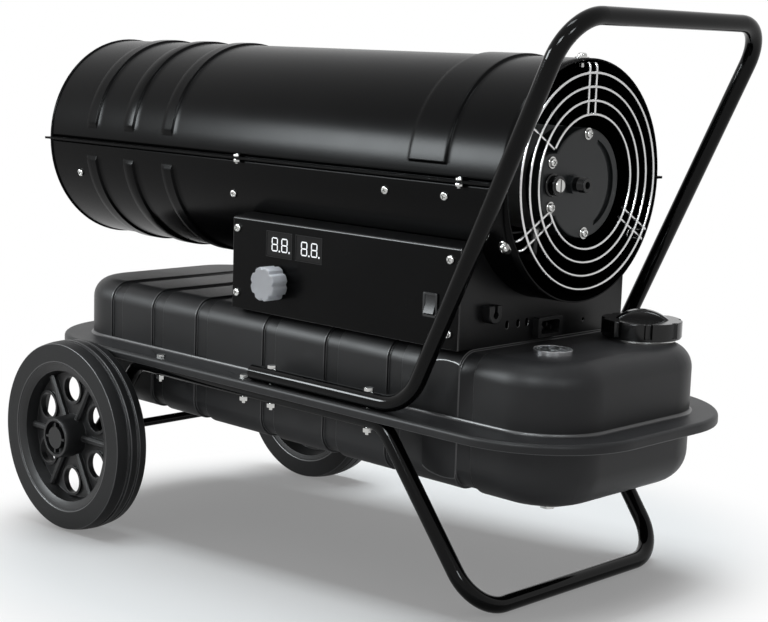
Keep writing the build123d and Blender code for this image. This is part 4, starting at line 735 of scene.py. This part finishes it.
# %% [markdown]
# ## Pump sleeves
# Two black fittings stand out of the pump's cover: the gauge port, whose end is threaded, and the sleeve round the
# pressure plug. A fine thread is a profile of small teeth turned round the axis. It doesn't climb as a real one does,
# but at this size nobody can see that, and it stays a clean closed shape.

# %% Port and sleeve
PORT_Y, PORT_SKIN, PORT_START, PORT_END, PORT_BORE = -23.5, 8.45, 6.2, 22.1, 4.4
SLEEVE_Y, SLEEVE_SKIN, SLEEVE_BORE, SLEEVE_START, SLEEVE_END = -61.0, 11.6, 8.4, 0.05, 11.05
COLLAR, COLLAR_TOP, COLLAR_CHAMFER, END_CHAMFER, SLEEVE_SIDES = 1.6, 1.8, (0.9, 2.4), 0.8, 40
COLLAR_FOOT = 2.8
THREAD_NECK, THREAD_START, THREAD_PITCH, THREAD_DEPTH, THREAD_RUNOUT = 11.0, 12.0, 1.5, 0.55, 1.3
PORT_CHAMFER = 0.5


def pump_place(y):
    """A place on the pump's cover that faces the inlet."""
    return facing((COVER_FACE_X, y, COVER_Z), (1, 0, 0))


thread = [(PORT_BORE, PORT_START), (PORT_SKIN, PORT_START), (PORT_SKIN, THREAD_NECK)]
height = THREAD_START
while height < PORT_END - THREAD_RUNOUT:
    thread += [(PORT_SKIN, height), (PORT_SKIN + THREAD_DEPTH, height + THREAD_PITCH / 2)]
    height += THREAD_PITCH
thread += [(PORT_SKIN, height), (PORT_SKIN - PORT_CHAMFER, PORT_END), (PORT_BORE, PORT_END)]
sleeve = [(SLEEVE_BORE, SLEEVE_START), (SLEEVE_SKIN + COLLAR, SLEEVE_START), (SLEEVE_SKIN + COLLAR, COLLAR_TOP),
          (SLEEVE_SKIN + COLLAR_CHAMFER[0], COLLAR_CHAMFER[1]), (SLEEVE_SKIN, COLLAR_FOOT),
          (SLEEVE_SKIN, SLEEVE_END - END_CHAMFER), (SLEEVE_SKIN - END_CHAMFER, SLEEVE_END), (SLEEVE_BORE, SLEEVE_END)]
fittings = [placed(turned(thread, SLEEVE_SIDES, hollow=True), pump_place(PORT_Y)),
            placed(turned(sleeve, SLEEVE_SIDES, hollow=True), pump_place(SLEEVE_Y))]
new_piece("pump_sleeves", joined(fittings), "cap_plastic", "heater", smooth=30.0)

# %% [markdown]
# ## The fuel gauge's dial
# The gauge looks up through a clear lens. Under it lies a dark dial with plain pale ticks over the pointer's quarter
# turn, and a bright ring holds the lens down.

# %% Gauge dial and ring
GAUGE_PLACE = (448.0, -66.0)
DIAL_Z, DIAL_R = 330.65, 19.2
RING_Z, RING_SHOULDER, RING_TOP, RING_OUT, RING_IN = 333.0, 333.9, 334.3, 22.9, 21.4
RING_CHAMFER, DIAL_SHEET, DIAL_SIDES, RING_SIDES = 0.3, 0.2, 48, 64
TICKS, TICK_SWEEP, TICK_FROM, TICK_TO, TICK_HALF, TICK_DEPTH = 7, 90.0, 12.5, 17.5, 0.5, 0.1
spot = Matrix.Translation((*GAUGE_PLACE, 0.0))
dial_top = DIAL_Z + DIAL_SHEET
dial = turned([(DIAL_R, DIAL_Z), (DIAL_R, dial_top)], DIAL_SIDES)
ring_profile = [(RING_IN, RING_Z), (RING_OUT, RING_Z), (RING_OUT, RING_SHOULDER),
                (RING_OUT - RING_CHAMFER, RING_TOP), (RING_IN + RING_CHAMFER, RING_TOP),
                (RING_IN, RING_TOP - RING_CHAMFER)]
ticks = []
for tick in range(TICKS):
    turn = Matrix.Rotation(radians(TICK_SWEEP * tick / (TICKS - 1)), 4, "Z")
    mark = [(TICK_FROM, -TICK_HALF), (TICK_TO, -TICK_HALF), (TICK_TO, TICK_HALF), (TICK_FROM, TICK_HALF)]
    ticks.append(placed(prism(mark, dial_top, dial_top + TICK_DEPTH), spot @ turn))
new_piece("gauge_dial", placed(dial, spot), "black_plastic", "heater")
new_piece("gauge_ticks", joined(ticks), "pointer_plastic", "heater")
ring = turned(ring_profile, RING_SIDES, hollow=True)
new_piece("gauge_ring", placed(ring, spot), "gauge_plastic", "heater", smooth=30.0)

# %% [markdown]
# ## The fillet round the tank
# Where the tank's wall meets its flange, a small fillet runs all the way round. It wears the painted highlight finish
# of the rounded edges, so it draws one thin light line. It is a hollow quarter round carried along a rounded
# rectangle, above the flange only.

# %% Tank fillet
TANK_X, TANK_HALF, TANK_CORNER, FLANGE_TOP = (-360.0, 529.0), 152.0, 80.0, 250.5
FILLET, FILLET_STEPS, CORNER_STEPS = 3.4, 5, 16
FILLET_SINK, FILLET_INSIDE = 0.5, -0.6


def tank_outline(grow):
    """The tank's rounded rectangle, grown outward, as (x, y) pairs."""
    outline = []
    for corner, (side_x, side_y) in enumerate(((1, -1), (1, 1), (-1, 1), (-1, -1))):
        edge = TANK_X[1] if side_x > 0 else TANK_X[0]
        centre = (edge - side_x * TANK_CORNER, side_y * (TANK_HALF - TANK_CORNER))
        for step in range(CORNER_STEPS + 1):
            angle = radians(-90 + 90 * corner + 90 * step / CORNER_STEPS)
            reach = TANK_CORNER + grow
            outline.append((centre[0] + reach * cos(angle), centre[1] + reach * sin(angle)))
    return outline


rows = []
for step in range(FILLET_STEPS + 1):
    turn = radians(90 * step / FILLET_STEPS)
    outline = tank_outline(FILLET * (1 - cos(turn)))
    rows.append([Vector((x, y, FLANGE_TOP + FILLET * (1 - sin(turn)))) for x, y in outline])
for grow, rise in ((FILLET, -FILLET_SINK), (FILLET_INSIDE, -FILLET_SINK), (FILLET_INSIDE, FILLET)):
    rows.append([Vector((x, y, FLANGE_TOP + rise)) for x, y in tank_outline(grow)])
count = len(rows[0])
points = [point for row in rows for point in row]
faces = [(row * count + step, ((row + 1) % len(rows)) * count + step,
          ((row + 1) % len(rows)) * count + (step + 1) % count, row * count + (step + 1) % count)
         for row in range(len(rows)) for step in range(count)]
fillet = new_piece("tank_fillet", (points, faces), "tank_enamel", "heater")
# The fillet wears the painted highlight finish, which draws its light line.
fillet.data.materials[0] = PAINTED_HIGHLIGHTS["moulding"]
